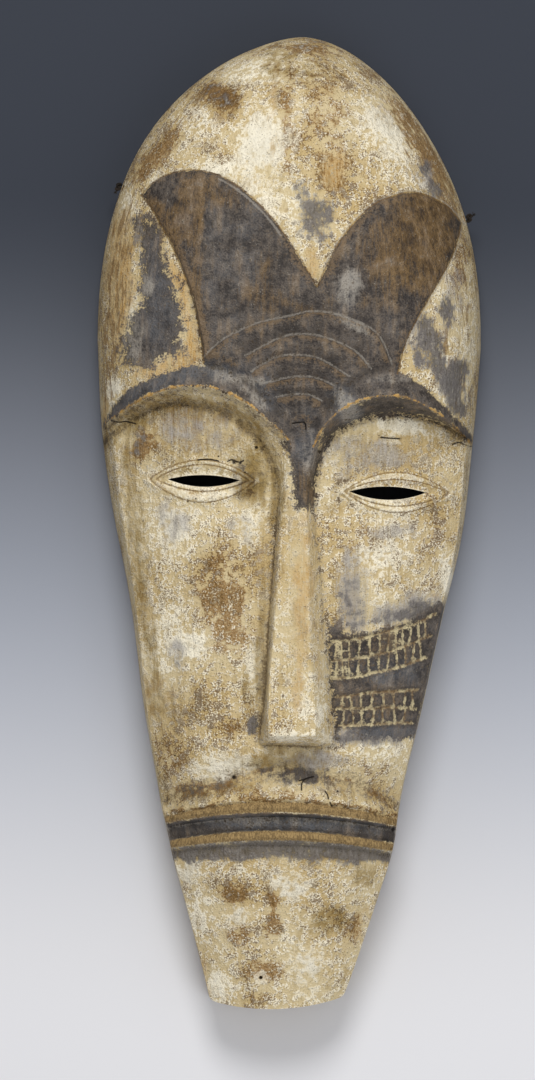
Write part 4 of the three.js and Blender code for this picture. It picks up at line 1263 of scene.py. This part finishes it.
# %% Stains, chalk, wood and grey
# The patches of a pigment are grouped by how strong they are. Each is x, y, half its width, half its
# height and, where it is turned, by how many degrees.
patches = {
    "brown": {
        0.9: [(-91, 48, 10, 11), (-3, -253, 5, 9), (-45, 270, 15, 12, -30)],
        0.85: [(-30, -238, 10, 9)],
        0.8: [(-4, -241, 6, 6), (-82, 238, 7, 22, -42), (90, 232, 8, 28, 34)],
        0.75: [(-10, -286, 17, 9)],
        0.7: [(-40, -43, 20, 33), (48, -258, 6, 14, -20), (28, 222, 12, 16), (-3, 258, 4, 44)],
        0.65: [(-28, -266, 11, 9)],
        0.6: [
            (-34, -132, 9, 6), (-57, -171, 28, 5, 14), (-6, -264, 7, 8), (20, 258, 19, 34),
            (68, 262, 16, 24, 36), (15, 303, 32, 6), (-109, 155, 9, 46),
        ],
        0.55: [(-72, -150, 14, 15)],
        0.5: [
            (-34, -74, 20, 18), (-37, -166, 14, 5), (48, -9, 20, 12), (-12, -303, 12, 5),
            (-25, 22, 8, 6), (-97, 217, 9, 16), (-6, -174, 46, 5), (108, 170, 7, 36),
            (-30, 296, 24, 4, 30), (70, -250, 3, 40, -20),
        ],
        0.45: [(91, -17, 18, 28)],
        0.4: [
            (56, -161, 20, 12), (93, 120, 14, 22), (-14, -20, 5, 20), (-60, -232, 7, 7),
            (30, -292, 4, 8),
        ],
        0.25: [(-73, -112, 18, 22)],
    },
    "olive": {
        1.0: [(-22, 28, 12, 17)],
        0.9: [(-24, 22, 9, 8)],
        0.8: [(30, -253, 15, 9), (55, -225, 8, 9)],
        0.7: [(2, -152, 32, 8), (-60, 67, 30, 6)],
        0.6: [(-96, 0, 6, 60, 6), (-82, -165, 8, 22, 12), (-88, -70, 5, 60, 9)],
        0.5: [
            (-60, 50, 44, 18), (-16, -60, 3, 70), (-40, -172, 34, 5, 8), (-118, 40, 4, 60, 4),
            (10, 290, 26, 10), (-12, 292, 8, 16), (-45, 270, 14, 12),
        ],
        0.45: [(-24, -110, 7, 18)],
        0.4: [(40, -172, 22, 5, -6), (14, -214, 40, 4), (-78, -290, 4, 40, 16), (-50, 34, 30, 8)],
        0.35: [(60, 50, 44, 16), (-70, -120, 22, 20), (30, -60, 3, 70)],
        0.3: [(-52, -25, 16, 8)],
    },
    "ochre": {
        1.0: [
            (-108, 160, 10, 44), (-66, 132, 5, 22, 12), (-63, 110, 6, 12), (-88, 94, 14, 5, 10),
            (67, -191, 7, 2.6, 8),
        ],
        0.9: [(-74, 158, 5, 14, 22), (-71, 100, 12, 5), (-117, 70, 4, 9), (13, 162, 5, 12)],
        0.8: [(11, -40, 7, 50), (9, -104, 5, 22), (-88, 167, 4, 7), (28, 224, 9, 14)],
        0.7: [(95, -45, 3, 3), (56, -281, 4, 16, -20), (-49, -291, 3, 14, 18)],
        0.6: [(-66, 18, 18, 4, -8)],
        0.5: [
            (50, -262, 5, 22, -20), (-12, 264, 3, 34), (22, -90, 3, 40, 3), (-86, 27, 6, 6),
            (-108, 120, 6, 18),
        ],
        0.4: [
            (-90, 150, 4, 6), (-100, 48, 8, 8), (20, 262, 12, 24), (2, 12, 4, 18), (-50, 262, 14, 10),
            (-82, -112, 14, 16),
        ],
    },
    "smoothed": {
        1.0: [(18, -285, 12, 14)],
        0.9: [(6, -40, 10, 50)],
        0.8: [
            (-13, -60, 5, 76), (-80, -115, 16, 18), (0, -150, 34, 8), (-50, 58, 50, 16),
            (-96, -20, 8, 90, 6), (-20, 28, 12, 18), (-19, 238, 16, 26), (6, -230, 12, 10),
            (-26, -251, 8, 8),
        ],
        0.7: [(-30, -168, 48, 6, 8), (62, 52, 46, 18), (44, -48, 12, 26), (20, -212, 60, 8)],
        0.6: [
            (44, -170, 34, 6, -8), (13, 192, 12, 14), (60, 258, 14, 20, 30), (-26, -5, 9, 10),
            (-34, -157, 24, 8),
        ],
        0.5: [(8, -95, 9, 22), (-72, -4, 10, 14), (-58, -222, 8, 8)],
        0.4: [(-50, 214, 30, 10)],
    },
    "chalk": {
        # The whitest spot, left of the middle of the forehead, is whiter clay and a painted highlight, with
        # the smoothed patch at (-19, 238).
        1.0: [(-19, 244, 17, 20)],
        0.9: [(-60, -80, 10, 10), (105, -36, 6, 18, 12), (4, -136, 13, 4)],
        0.8: [(-40, -295, 8, 9), (-113, 83, 5, 8), (-46, 224, 16, 7), (-36, -157, 24, 8, 6)],
        0.7: [(6, -230, 13, 10), (76, 61, 30, 6, -6), (58, 250, 12, 24, 34), (-86, 214, 5, 7)],
        0.6: [
            (-71, -5, 14, 16), (-24, -5, 11, 12), (18, -285, 12, 14), (-59, -222, 12, 10),
            (-54, -254, 10, 14), (70, -60, 6, 5), (84, 216, 12, 3, -20), (24, -120, 3, 16),
            (-100, 132, 5, 14), (99, 100, 10, 22, 20), (-20, 204, 8, 20, 30),
        ],
        0.5: [
            (-26, -251, 8, 7), (-58, 256, 18, 10), (56, -24, 12, 8), (-20, -90, 5, 20),
            (-104, 200, 5, 16), (14, -118, 8, 8),
        ],
        0.4: [(-30, 288, 22, 8), (60, -146, 20, 6), (-93, -20, 3, 30), (-26, -222, 16, 6)],
        0.35: [(68, -12, 34, 32), (-77, -72, 15, 36)],
    },
    "grey": {
        1.0: [(44, -46, 10, 25), (80, -54, 28, 8, 12), (54, -135, 22, 7)],
        0.9: [(104, 90, 9, 12)],
        0.8: [(-68, -85, 5, 11)],
        0.7: [(20, -151, 22, 5), (83, 223, 9, 9)],
        0.5: [
            (103, 140, 8, 26), (80, 118, 9, 18), (47, 43, 34, 12), (-72, -3, 12, 14), (-56, 58, 24, 13),
        ],
        0.4: [(-28, -4, 10, 8), (90, 176, 4, 20, -30)],
        0.3: [(70, -6, 24, 5)],
    },
    "soot_and_shade": {
        1.0: [(-20, -131, 3, 7), (108, 78, 8, 12, 20)],
        0.9: [
            (17, 193, 13, 15), (110, 96, 6, 12), (98, 96, 7, 16, 30), (88, 122, 8, 16, 26),
            (100, 136, 5, 12, 10),
        ],
        0.8: [(84, -56, 26, 7, 12), (92, 214, 4, 8, 20), (84, 228, 5, 5)],
        # Painted shade under the arch over the mouth.
        0.75: [(9, -161, 27, 5)],
        0.7: [(54, -135, 22, 6), (82, 106, 6, 10, 30)],
        # Painted shade under the lower lip.
        0.6: [(30, -212, 46, 5)],
        0.5: [(44, -52, 12, 20), (-104, 112, 6, 20)],
        0.45: [(-52, -170, 24, 3, 14)],
        0.4: [(-46, 272, 10, 8), (-94, 50, 8, 8), (-66, -86, 4, 9), (4, 210, 5, 12)],
        0.3: [(-30, 30, 8, 8)],
        0.25: [(15, 305, 20, 4)],
    },
    "flaked": {
        0.65: [(100, 208, 7, 26, 20)],
        0.6: [(86, 236, 9, 28, 30)],
        0.5: [(-82, 238, 8, 26, -42), (-110, 150, 9, 50)],
        0.4: [(104, 96, 12, 26, 20), (-116, 100, 5, 40)],
        0.35: [
            (68, 262, 12, 30, 38), (-102, 196, 6, 18, -20), (112, 150, 8, 40, 8), (15, 304, 30, 6),
            (60, 284, 20, 5, -34),
        ],
        0.3: [(-58, 274, 20, 8, 36), (-50, 292, 24, 5, 34), (92, 130, 10, 24, 24), (10, 290, 40, 14)],
        0.2: [(-72, -140, 16, 20), (-36, 262, 20, 12)],
        0.15: [(26, 200, 20, 30)],
    },
    "umber": {
        1.0: [(84, 180, 26, 34), (90, 205, 16, 8)],
        0.9: [(-72, 190, 9, 28, -20), (-74, 168, 3, 14, 16)],
        0.8: [(-86, 198, 6, 14, 40), (-62, 190, 5, 18, -14)],
        0.6: [
            (62, 166, 24, 30), (-60, 150, 7, 30), (-20, 142, 20, 8), (12, 24, 8, 14),
            (-46, 208, 22, 8, -20), (-14, 158, 8, 14),
        ],
        0.5: [(10, 138, 22, 4)],
        0.4: [(60, 60, 40, 6)],
        0.3: [(48, 140, 12, 8)],
    },
    "cool": {
        1.0: [(0, -191, 80, 6)],
        0.9: [(36, 74, 10, 16, 30)],
        0.8: [(-90, 82, 26, 10, 30), (60, -94, 34, 8), (60, -132, 30, 6), (0, -208, 60, 8)],
        0.7: [(-52, 96, 26, 6)],
        0.6: [(12, 50, 10, 20), (-10, 80, 18, 10, -30), (-84, 140, 14, 44), (36, 148, 8, 12)],
        0.3: [(-40, 160, 18, 34), (-72, 196, 10, 14), (-24, 190, 14, 16)],
    },
    "rubbed": {
        0.9: [(36, 74, 7, 13, 30), (42, 125, 14, 3, -30), (37, 150, 9, 13, 10)],
        0.8: [(-62, 108, 3, 4), (-91, 146, 4, 9)],
        0.7: [(-100, 116, 6, 16)],
        0.6: [(-34, 92, 26, 4, -14), (-20, 78, 12, 4, -36)],
        0.5: [(14, 44, 5, 18), (0, -191.5, 36, 2.5), (-96, 170, 4, 20)],
        0.4: [(66, 92, 18, 3), (-30, -209, 12, 3), (26, -212, 10, 3)],
        0.3: [(60, -94, 30, 5, 6)],
    },
}


def amount(groups, x, y):
    """How much of a pigment lies at each point."""
    bare = np.ones(x.shape)
    for strength, spots in groups.items():
        for place_x, place_y, wide, tall, *tilt in spots:
            turned = math.radians(sum(tilt))
            dx, dy = x - place_x, y - place_y
            u = (dx * math.cos(turned) + dy * math.sin(turned)) / wide
            v = (dy * math.cos(turned) - dx * math.sin(turned)) / tall
            bare *= 1.0 - strength * smooth(1.6, 0.2, np.hypot(u, v))
    return 1.0 - bare


def near_lines(lines, width, x, y):
    away = np.minimum.reduce([distance(points, x, y) for points in lines])
    return 1.0 - smooth(width * 0.4, width, away)


# %% Crevices and worn edges
FINE_ROUNDS, BROAD_ROUNDS, LAST_ROUNDS = 2, 14, 3
BROAD_DRIFT, FINE_DRIFT = 3.5, 1.5
PAINT_END_Z, PAINT_FULL_Z = 14.0, 30.0


def each_point(mesh, name):
    """What a mesh says of each of its points, in rows of three."""
    values = np.empty(len(mesh.vertices) * 3)
    mesh.vertices.foreach_get(name, values)
    return values.reshape(-1, 3)


def relief_of(mesh, rounds):
    """How far each point lies below its surroundings, in millimetres; negative on an edge."""
    count_points = len(mesh.vertices)
    points, normals = each_point(mesh, "co") / MM, each_point(mesh, "normal")
    ends = np.empty(len(mesh.edges) * 2, np.int32)
    mesh.edges.foreach_get("vertices", ends)
    a, b = ends.reshape(-1, 2).T
    neighbours = np.bincount(ends, minlength=count_points)

    def around(values):
        """The mean of what the neighbours of each point have."""
        total = np.bincount(a, values[b], count_points) + np.bincount(b, values[a], count_points)
        return total / neighbours

    soft = points.copy()
    for _ in range(rounds):
        soft = (soft + np.column_stack([around(soft[:, k]) for k in range(3)])) / 2.0
    lies = ((soft - points) * normals).sum(axis=1)
    for _ in range(LAST_ROUNDS):
        lies = (lies + around(lies)) / 2.0
    return lies


def drifted(values, seed, fine_seed):
    """A coordinate moved about a little, so that no stain has a smooth edge."""
    values = values + BROAD_DRIFT * wander(x, y, 13.0, 16.0, seed)
    return values + FINE_DRIFT * wander(x, y, 4.0, 5.0, fine_seed)


def at_least(name, values):
    """Adds to a pigment where there is less of it than this."""
    pigments[name] = np.maximum(pigments[name], values)


def how_near(lines, half):
    """Distance to the nearest of these lines as a share of a half width, up to 6 of them."""
    return np.minimum(np.minimum.reduce([distance(points, x, y) for points in lines]) / half, 6.0)


x, y, z = (each_point(cut_mesh, "co") / MM).T
drift_x, drift_y = drifted(x, 2.2, 4.9), drifted(y, 7.7, 9.1)
on_front = smooth(PAINT_END_Z, PAINT_FULL_Z, z + 5.0 * wander(x, y, 9.0, 9.0, 6.6))
outer = np.clip(level(x, y), 0.0, 1.0)
fine_relief, broad_relief = relief_of(cut_mesh, FINE_ROUNDS), relief_of(cut_mesh, BROAD_ROUNDS)
print("relief from", fine_relief.min().round(2), "to", fine_relief.max().round(2), "mm")

# %% Stains, painted shade round the mouth, lips and black paint on each point
mouth_bow = line((-68, -180), (-48, -168), (-22, -161), (4, -159), (30, -163), (52, -170), (70, -180))
pigments = {
    name: amount(groups, drift_x, drift_y) * (0.3 + 0.7 * on_front) for name, groups in patches.items()
}
lips = [band((-196.6, 8.5), (-202.6, 7.5), 78.0), band((-178.0, 11.0), (-184.8, 8.8), 80.0)]
pigments["lips"] = np.clip(np.maximum.reduce([within(lip, x, y) for lip in lips]), -4.0, 4.0)
pigments["lips"] -= 8.0 * (1.0 - on_front)
under_lip = within(band((-203.0, 7.5), (-213.0, 4.0), 70.0), x, (y + drift_y) / 2.0)
# Painted shade under the lower lip, in the soot layer.
at_least("soot_and_shade", smooth(-5.0, 2.5, under_lip) * on_front)
at_least("olive", 0.7 * near_lines([brow_foot_left[brow_foot_left[:, 1] > 0.0]], 9.0, drift_x, drift_y))
at_least("brown", 0.4 * smooth(0.9, 1.0, outer) * smooth(-100.0, 200.0, y))
at_least("brown", 0.45 * (1.0 - on_front))
# Painted shadow along the arch over the mouth, in the brown layer.
at_least("brown", 0.6 * near_lines([mouth_bow], 4.0, drift_x, drift_y))
at_least("brown", 0.7 * near_lines([mouth_row(-176.5, 11.3)], 2.2, x, drift_y))
at_least("rubbed", 0.75 * near_lines([mouth_row(-188.6, 8.5)], 1.2, x, y))

areas = [np.clip(within(outline, x, y) / soft, -8.0, 8.0) for outline, soft in blackened]
seams = [brow_top_left[brow_top_left[:, 0] > -50.0], brow_top_right[brow_top_right[:, 0] < 66.0]]
areas += [4.0 - distance(seam, x, y) for seam in seams]
black = np.maximum.reduce(areas) - 12.0 * (1.0 - on_front)

# %% Thin lines, grime with painted shade, and wear on each point
sharp_left, sharp_right = (side[side[:, 1] > 46.0] for side in (brow_ridge_left, brow_ridge_right))
pigments["edge"] = np.minimum(how_near([sharp_left], 0.75), how_near([sharp_right], 0.7))
pigments["inlay"] = np.minimum(how_near(scars, 1.05), how_near(ticks, 0.7))
pits_near = [np.minimum(np.hypot(x - pit[0], y - pit[1]) / pit[2], 6.0) for pit in pits]
pigments["crack"] = np.minimum.reduce(pits_near + [how_near(cracks, 0.6)])
# A thin painted shadow, with some dirt, in the grooves round the eyes and along the raised leaves' edges.
lid_rings = [almond_ring(eye, part, grow) for eye in eyes for part, grow in EYE_CUTS]
leaf_edges = [leaf_side_left, leaf_top_left, leaf_top_right, leaf_side_right]
pigments["shadow_and_dirt_line"] = np.minimum(how_near(lid_rings, 0.6), how_near(leaf_edges, 0.75))
pigments["highlight"] = how_near(fan_ribs + [light_top, light_right], 0.8)

# Grime and painted shade: darker in hollows and creases, less round the eyes; painted shade along the foot
# of brows and nose, under the mouth's arch, in the left eye's inner corner and under the left brow ridge.
near_eye = np.minimum.reduce([almond(eye, "lid", x, y) for eye in eyes])
fine_low, broad_low = np.clip(fine_relief / 0.2, 0.0, 1.0), np.clip(broad_relief / 1.2, 0.0, 1.0)
pigments["grime_and_shade"] = (0.3 * fine_low + 0.55 * broad_low) * (0.45 + 0.55 * smooth(1.0, 1.8, near_eye))
foot_crease = near_lines([foot[np.abs(foot[:, 0]) < 118.0]], 3.0, x, y)
at_least("grime_and_shade", (0.35 + 0.2 * smooth(0.0, 40.0, y)) * foot_crease)
at_least("grime_and_shade", 0.4 * near_lines([mouth_bow], 9.0, drift_x, drift_y))
at_least("grime_and_shade", 0.55 * smooth(16.0, 3.0, np.hypot(drift_x + 25.0, drift_y - 24.0)))
at_least("grime_and_shade", 0.5 * near_lines([beside(sharp_left, -2.4)[4:]], 3.4, x, y))

fine_high = np.clip(-0.2 - fine_relief / 0.16, 0.0, 1.0)
broad_high = np.clip(-broad_relief / 1.0, 0.0, 1.0)
over_mouth = within(band((-168.0, 14.0), (-178.0, 11.0), 78.0), x, y)
pigments["worn"] = 0.6 * fine_high + 0.4 * broad_high
pigments["worn"] *= 1.0 - 0.75 * near_lines([ridge], 7.0, x, y)
pigments["worn"] *= smooth(4.0, 20.0, z)
pigments["worn"] *= 1.0 - 0.85 * smooth(-3.0, 2.0, over_mouth)
pigments["black"] = black

for name, values in pigments.items():
    stored = cut_mesh.attributes.new(name, "FLOAT", "POINT")
    stored.data.foreach_set("value", values.astype(np.float32))
turn_round = np.arctan2(y - WIDEST_Y, np.abs(x - middle(y)))
flow = np.column_stack([(1.0 - outer) * WIDEST_Y, turn_round * WIDEST_Y, 0.35 * x]) * MM
cut_mesh.attributes.new("flow", "FLOAT_VECTOR", "POINT").data.foreach_set("vector", flow.ravel())
print("pigments:", ", ".join(pigments))

# %% [markdown]
# ## The finishes
# The white clay is granular, thin and patchy, so it is built up in layers as it was on the wood: clay,
# specks of bare wood, stains, black paint, then wear, dirt, painted shade and painted highlights. Fine
# noise breaks the edge of every layer into specks. The wood's grain runs from crown to chin, so the
# streaks are stretched that way.

# %% Colours
CLAY, CLAY_WARM, CHALK = colour(208, 191, 151), colour(194, 170, 120), colour(232, 227, 210)
FLECK, SPECK, CRUST = colour(252, 244, 220), colour(110, 80, 32), colour(228, 216, 184)
BROWN, DEEP_BROWN, FLAKE = colour(166, 134, 86), colour(132, 100, 62), colour(104, 82, 54)
OLIVE_WASH, DIRT_AND_SHADE_WASH = colour(174, 158, 114), colour(118, 102, 76)
OCHRE, LIP = colour(188, 144, 72), colour(163, 137, 92)
GREY, PALE_GREY, COOL = colour(118, 113, 112), colour(176, 173, 170), colour(98, 103, 110)
SOOT, DUST, DULL = colour(50, 45, 42), colour(108, 99, 90), colour(128, 104, 72)
UMBER, BARK, ASH_AND_SHADE = colour(72, 56, 36), colour(132, 104, 62), colour(76, 72, 66)
PALE, INLAY, GRIME = colour(160, 154, 144), colour(206, 192, 152), colour(84, 66, 42)
SMOKE = colour(40, 33, 28)


# %% Painted wood
def paint(nodes):
    mix, covers, blend, times, reading = nodes.mix, nodes.covers, nodes.blend, nodes.times, nodes.reading
    specks, dots = nodes.grain(1.2), nodes.grain(0.9, shift=13.0)
    flakes, clouds = nodes.grain(4.0, detail=5.0, shift=3.0), nodes.grain(14.0, detail=5.0, shift=9.0)
    broad, streaks = nodes.grain(45.0, shift=7.0), nodes.grain(1.2, stretch=9.0, shift=1.0)
    long_streaks = nodes.grain(4.0, 7.0, 4.0, 5.0)
    round_rim = nodes.add("ShaderNodeAttribute", {}, attribute_name="flow").outputs[1]
    flow = nodes.grain(2.4, 4.5, 5.0, 2.0, round_rim)
    granular = blend(blend(specks, flakes, 0.52), streaks, 0.2)
    brushed = blend(blend(streaks, long_streaks, 0.45), specks, 0.3)
    mottled = blend(clouds, flakes, 0.5)
    brown, chalk = reading("brown"), reading("chalk")
    rough_area = nodes.sum(1.0, times(reading("smoothed"), -0.8))

    def lay(under, pigment, where, strength, kind="MIX"):
        """The layers so far with one more pigment over them."""
        return mix(times(where, strength), under, pigment, kind)

    def veil_of(name, grains, soft):
        """Where a thin layer lies that fades out with its pigment."""
        return times(covers(reading(name), grains, soft), nodes.ramp(reading(name), 0.0, 0.2))

    def thin_line(name, jagged, start, end):
        """Where a thin line lies, with an edge that grains make jagged."""
        return nodes.ramp(nodes.sum(reading(name), jagged), start, end)

    shade = mix(nodes.ramp(blend(broad, clouds, 0.4), 0.15, 0.85), CLAY, CLAY_WARM)
    shade = lay(shade, CRUST, covers(0.42, blend(mottled, specks, 0.2), 0.1), 0.6)
    # Brown stains, and the painted shadow along the arch over the mouth.
    stain_and_shade = mix(nodes.ramp(blend(flakes, specks, 0.4), 0.15, 0.6), DEEP_BROWN, BROWN)
    shade = lay(shade, stain_and_shade, covers(brown, mottled, 0.12), 0.9)
    shade = lay(shade, CHALK, covers(chalk, blend(clouds, flakes, 0.4), 0.2), 0.9)
    light = nodes.sum(nodes.sum(times(brown, -0.25), times(chalk, 0.25)), 0.45)
    light = nodes.sum(light, times(nodes.sum(mottled, -0.5), 0.5))
    light = times(covers(light, granular, 0.15), rough_area)
    shade = lay(shade, FLECK, light, 0.95)
    dark = nodes.sum(nodes.sum(times(brown, 0.2), times(chalk, -0.3)), 0.33)
    dark = nodes.sum(dark, times(nodes.sum(blend(broad, clouds, 0.5), -0.5), 0.5))
    dark = times(covers(dark, blend(dots, flakes, 0.48), 0.12), rough_area)
    shade = lay(shade, SPECK, dark, 0.85)
    crust_edge = nodes.ramp(nodes.sum(nodes.sum(flakes, -0.5), 0.0, "ABSOLUTE"), 0.045, 0.0)
    crust_edge = times(times(crust_edge, nodes.ramp(clouds, 0.4, 0.7)), rough_area)
    shade = lay(shade, SPECK, crust_edge, 0.55)
    wood = mix(brushed, OCHRE, CLAY)
    shade = lay(shade, wood, covers(reading("ochre"), blend(brushed, clouds, 0.5), 0.3), 0.85)
    shade = lay(shade, mix(specks, FLAKE, BROWN), covers(reading("flaked"), flow, 0.14), 0.8)
    olive = covers(reading("olive"), blend(long_streaks, clouds, 0.5), 0.6)
    shade = lay(shade, OLIVE_WASH, olive, 0.9, "MULTIPLY")
    grey = mix(blend(streaks, clouds, 0.5), GREY, PALE_GREY)
    veil = veil_of("grey", blend(clouds, brushed, 0.35), 0.5)
    shade = lay(shade, grey, veil, 0.75)
    # Soot, and painted shade under the lower lip and the arch over the mouth, as a thin grey layer.
    ash_and_shade = mix(blend(brushed, flakes, 0.5), ASH_AND_SHADE, GREY)
    veil = veil_of("soot_and_shade", blend(mottled, brushed, 0.3), 0.3)
    shade = lay(shade, ash_and_shade, veil, 0.9)
    shade = lay(shade, OLIVE_WASH, nodes.ramp(streaks, 0.35, 0.0), 0.25, "MULTIPLY")

    smoky = nodes.ramp(blend(blend(mottled, specks, 0.45), long_streaks, 0.25), 0.05, 0.95)
    dusty = mix(smoky, SOOT, DUST)
    brownish = mix(nodes.ramp(blend(brushed, mottled, 0.5), 0.05, 0.95), UMBER, BARK)
    black = lay(dusty, brownish, covers(reading("umber"), blend(clouds, brushed, 0.4), 0.4), 0.9)
    black = lay(black, DULL, covers(0.22, blend(clouds, long_streaks, 0.5), 0.25), 0.6)
    black = lay(black, COOL, covers(reading("cool"), clouds, 0.6), 0.55)
    black = lay(black, PALE, covers(reading("rubbed"), blend(brushed, mottled, 0.5), 0.4), 0.8)
    black = lay(black, PALE, covers(0.1, blend(dots, flakes, 0.3), 0.1), 0.55)
    black = lay(black, SMOKE, covers(0.22, blend(specks, streaks, 0.5), 0.12), 0.5)
    frayed = times(nodes.sum(blend(mottled, specks, 0.4), -0.5), 3.4)
    there = nodes.ramp(nodes.sum(reading("black"), frayed), -0.7, 0.7)
    shade = mix(there, shade, black)

    worn = times(covers(reading("worn"), granular, 0.3), 0.5)
    shade = mix(worn, shade, mix(there, FLECK, DULL))
    lip_marks = blend(nodes.grain(0.9, 5.0, shift=6.0), flakes, 0.2)
    lip = lay(LIP, GRIME, covers(0.48, lip_marks, 0.3), 0.6)
    shade = mix(nodes.ramp(nodes.sum(reading("lips"), nodes.sum(specks, -0.5)), -0.3, 0.5), shade, lip)
    broken = times(blend(blend(flakes, clouds, 0.5), brushed, 0.4), 3.0)
    ridge_wood = times(thin_line("edge", broken, 2.6, 1.6), 0.8)
    shade = mix(ridge_wood, shade, mix(nodes.ramp(flakes, 0.3, 0.7), OCHRE, BARK))
    caught = thin_line("highlight", times(brushed, 1.2), 1.7, 0.9)
    shade = lay(shade, PALE, caught, 0.5)
    # The thin painted shadow, with dirt, in the eye grooves and along the leaves' edges.
    shadow_and_dirt_line = thin_line("shadow_and_dirt_line", times(brushed, 0.9), 1.5, 0.8)
    shade = lay(shade, SPECK, shadow_and_dirt_line, 0.6)
    shaded = thin_line("inlay", times(flakes, 1.5), 4.2, 2.4)
    shade = lay(shade, SMOKE, shaded, 0.35)
    chipped = times(blend(flakes, specks, 0.5), 1.9)
    inlay = thin_line("inlay", chipped, 2.4, 1.3)
    shade = lay(shade, mix(nodes.ramp(mottled, 0.25, 0.8), INLAY, DULL), inlay, 0.85)
    # Grime and painted shade darken the hollows and creases.
    dirt_and_shade = covers(reading("grime_and_shade"), blend(flakes, specks, 0.5), 0.5)
    shade = lay(shade, DIRT_AND_SHADE_WASH, dirt_and_shade, 0.9, "MULTIPLY")
    crack = thin_line("crack", times(dots, 0.7), 1.4, 0.8)
    shade = lay(shade, SMOKE, crack, 0.9)
    pores = nodes.ramp(nodes.grain(1.1, detail=1.0, shift=11.0), 0.1, 0.03)
    shade = lay(shade, SMOKE, pores, 0.6)

    rough = nodes.add("ShaderNodeMapRange", {"Value": there, "To Min": 0.85, "To Max": 0.6}).outputs[0]
    nodes.finish(shade, rough, blend(granular, mottled, 0.4), 1.3)


paint(clay_nodes)


# %% Bare wood of the hollow and the rim
def age(nodes):
    streaks, long_streaks = nodes.grain(1.2, stretch=22.0), nodes.grain(6.0, 9.0, 4.0, 4.0)
    clouds = nodes.grain(30.0, detail=4.0, shift=2.0)
    wood = nodes.mix(streaks, colour(120, 88, 54), colour(158, 122, 80))
    wood = nodes.mix(nodes.ramp(long_streaks, 0.4, 0.9), wood, colour(92, 66, 42))
    wood = nodes.mix(nodes.times(nodes.ramp(clouds, 0.35, 0.85), 0.75), wood, SMOKE)
    nodes.finish(wood, 0.75, nodes.blend(streaks, long_streaks, 0.5), 0.8)


age(wood_nodes)

# %% Smooth shading with the cut edges kept
SHARP_ANGLE = 55.0
cut_mesh.shade_smooth()
cut_mesh.set_sharp_from_angle(angle=math.radians(SHARP_ANGLE))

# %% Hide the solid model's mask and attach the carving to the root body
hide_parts("mask")
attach(carving, "root")
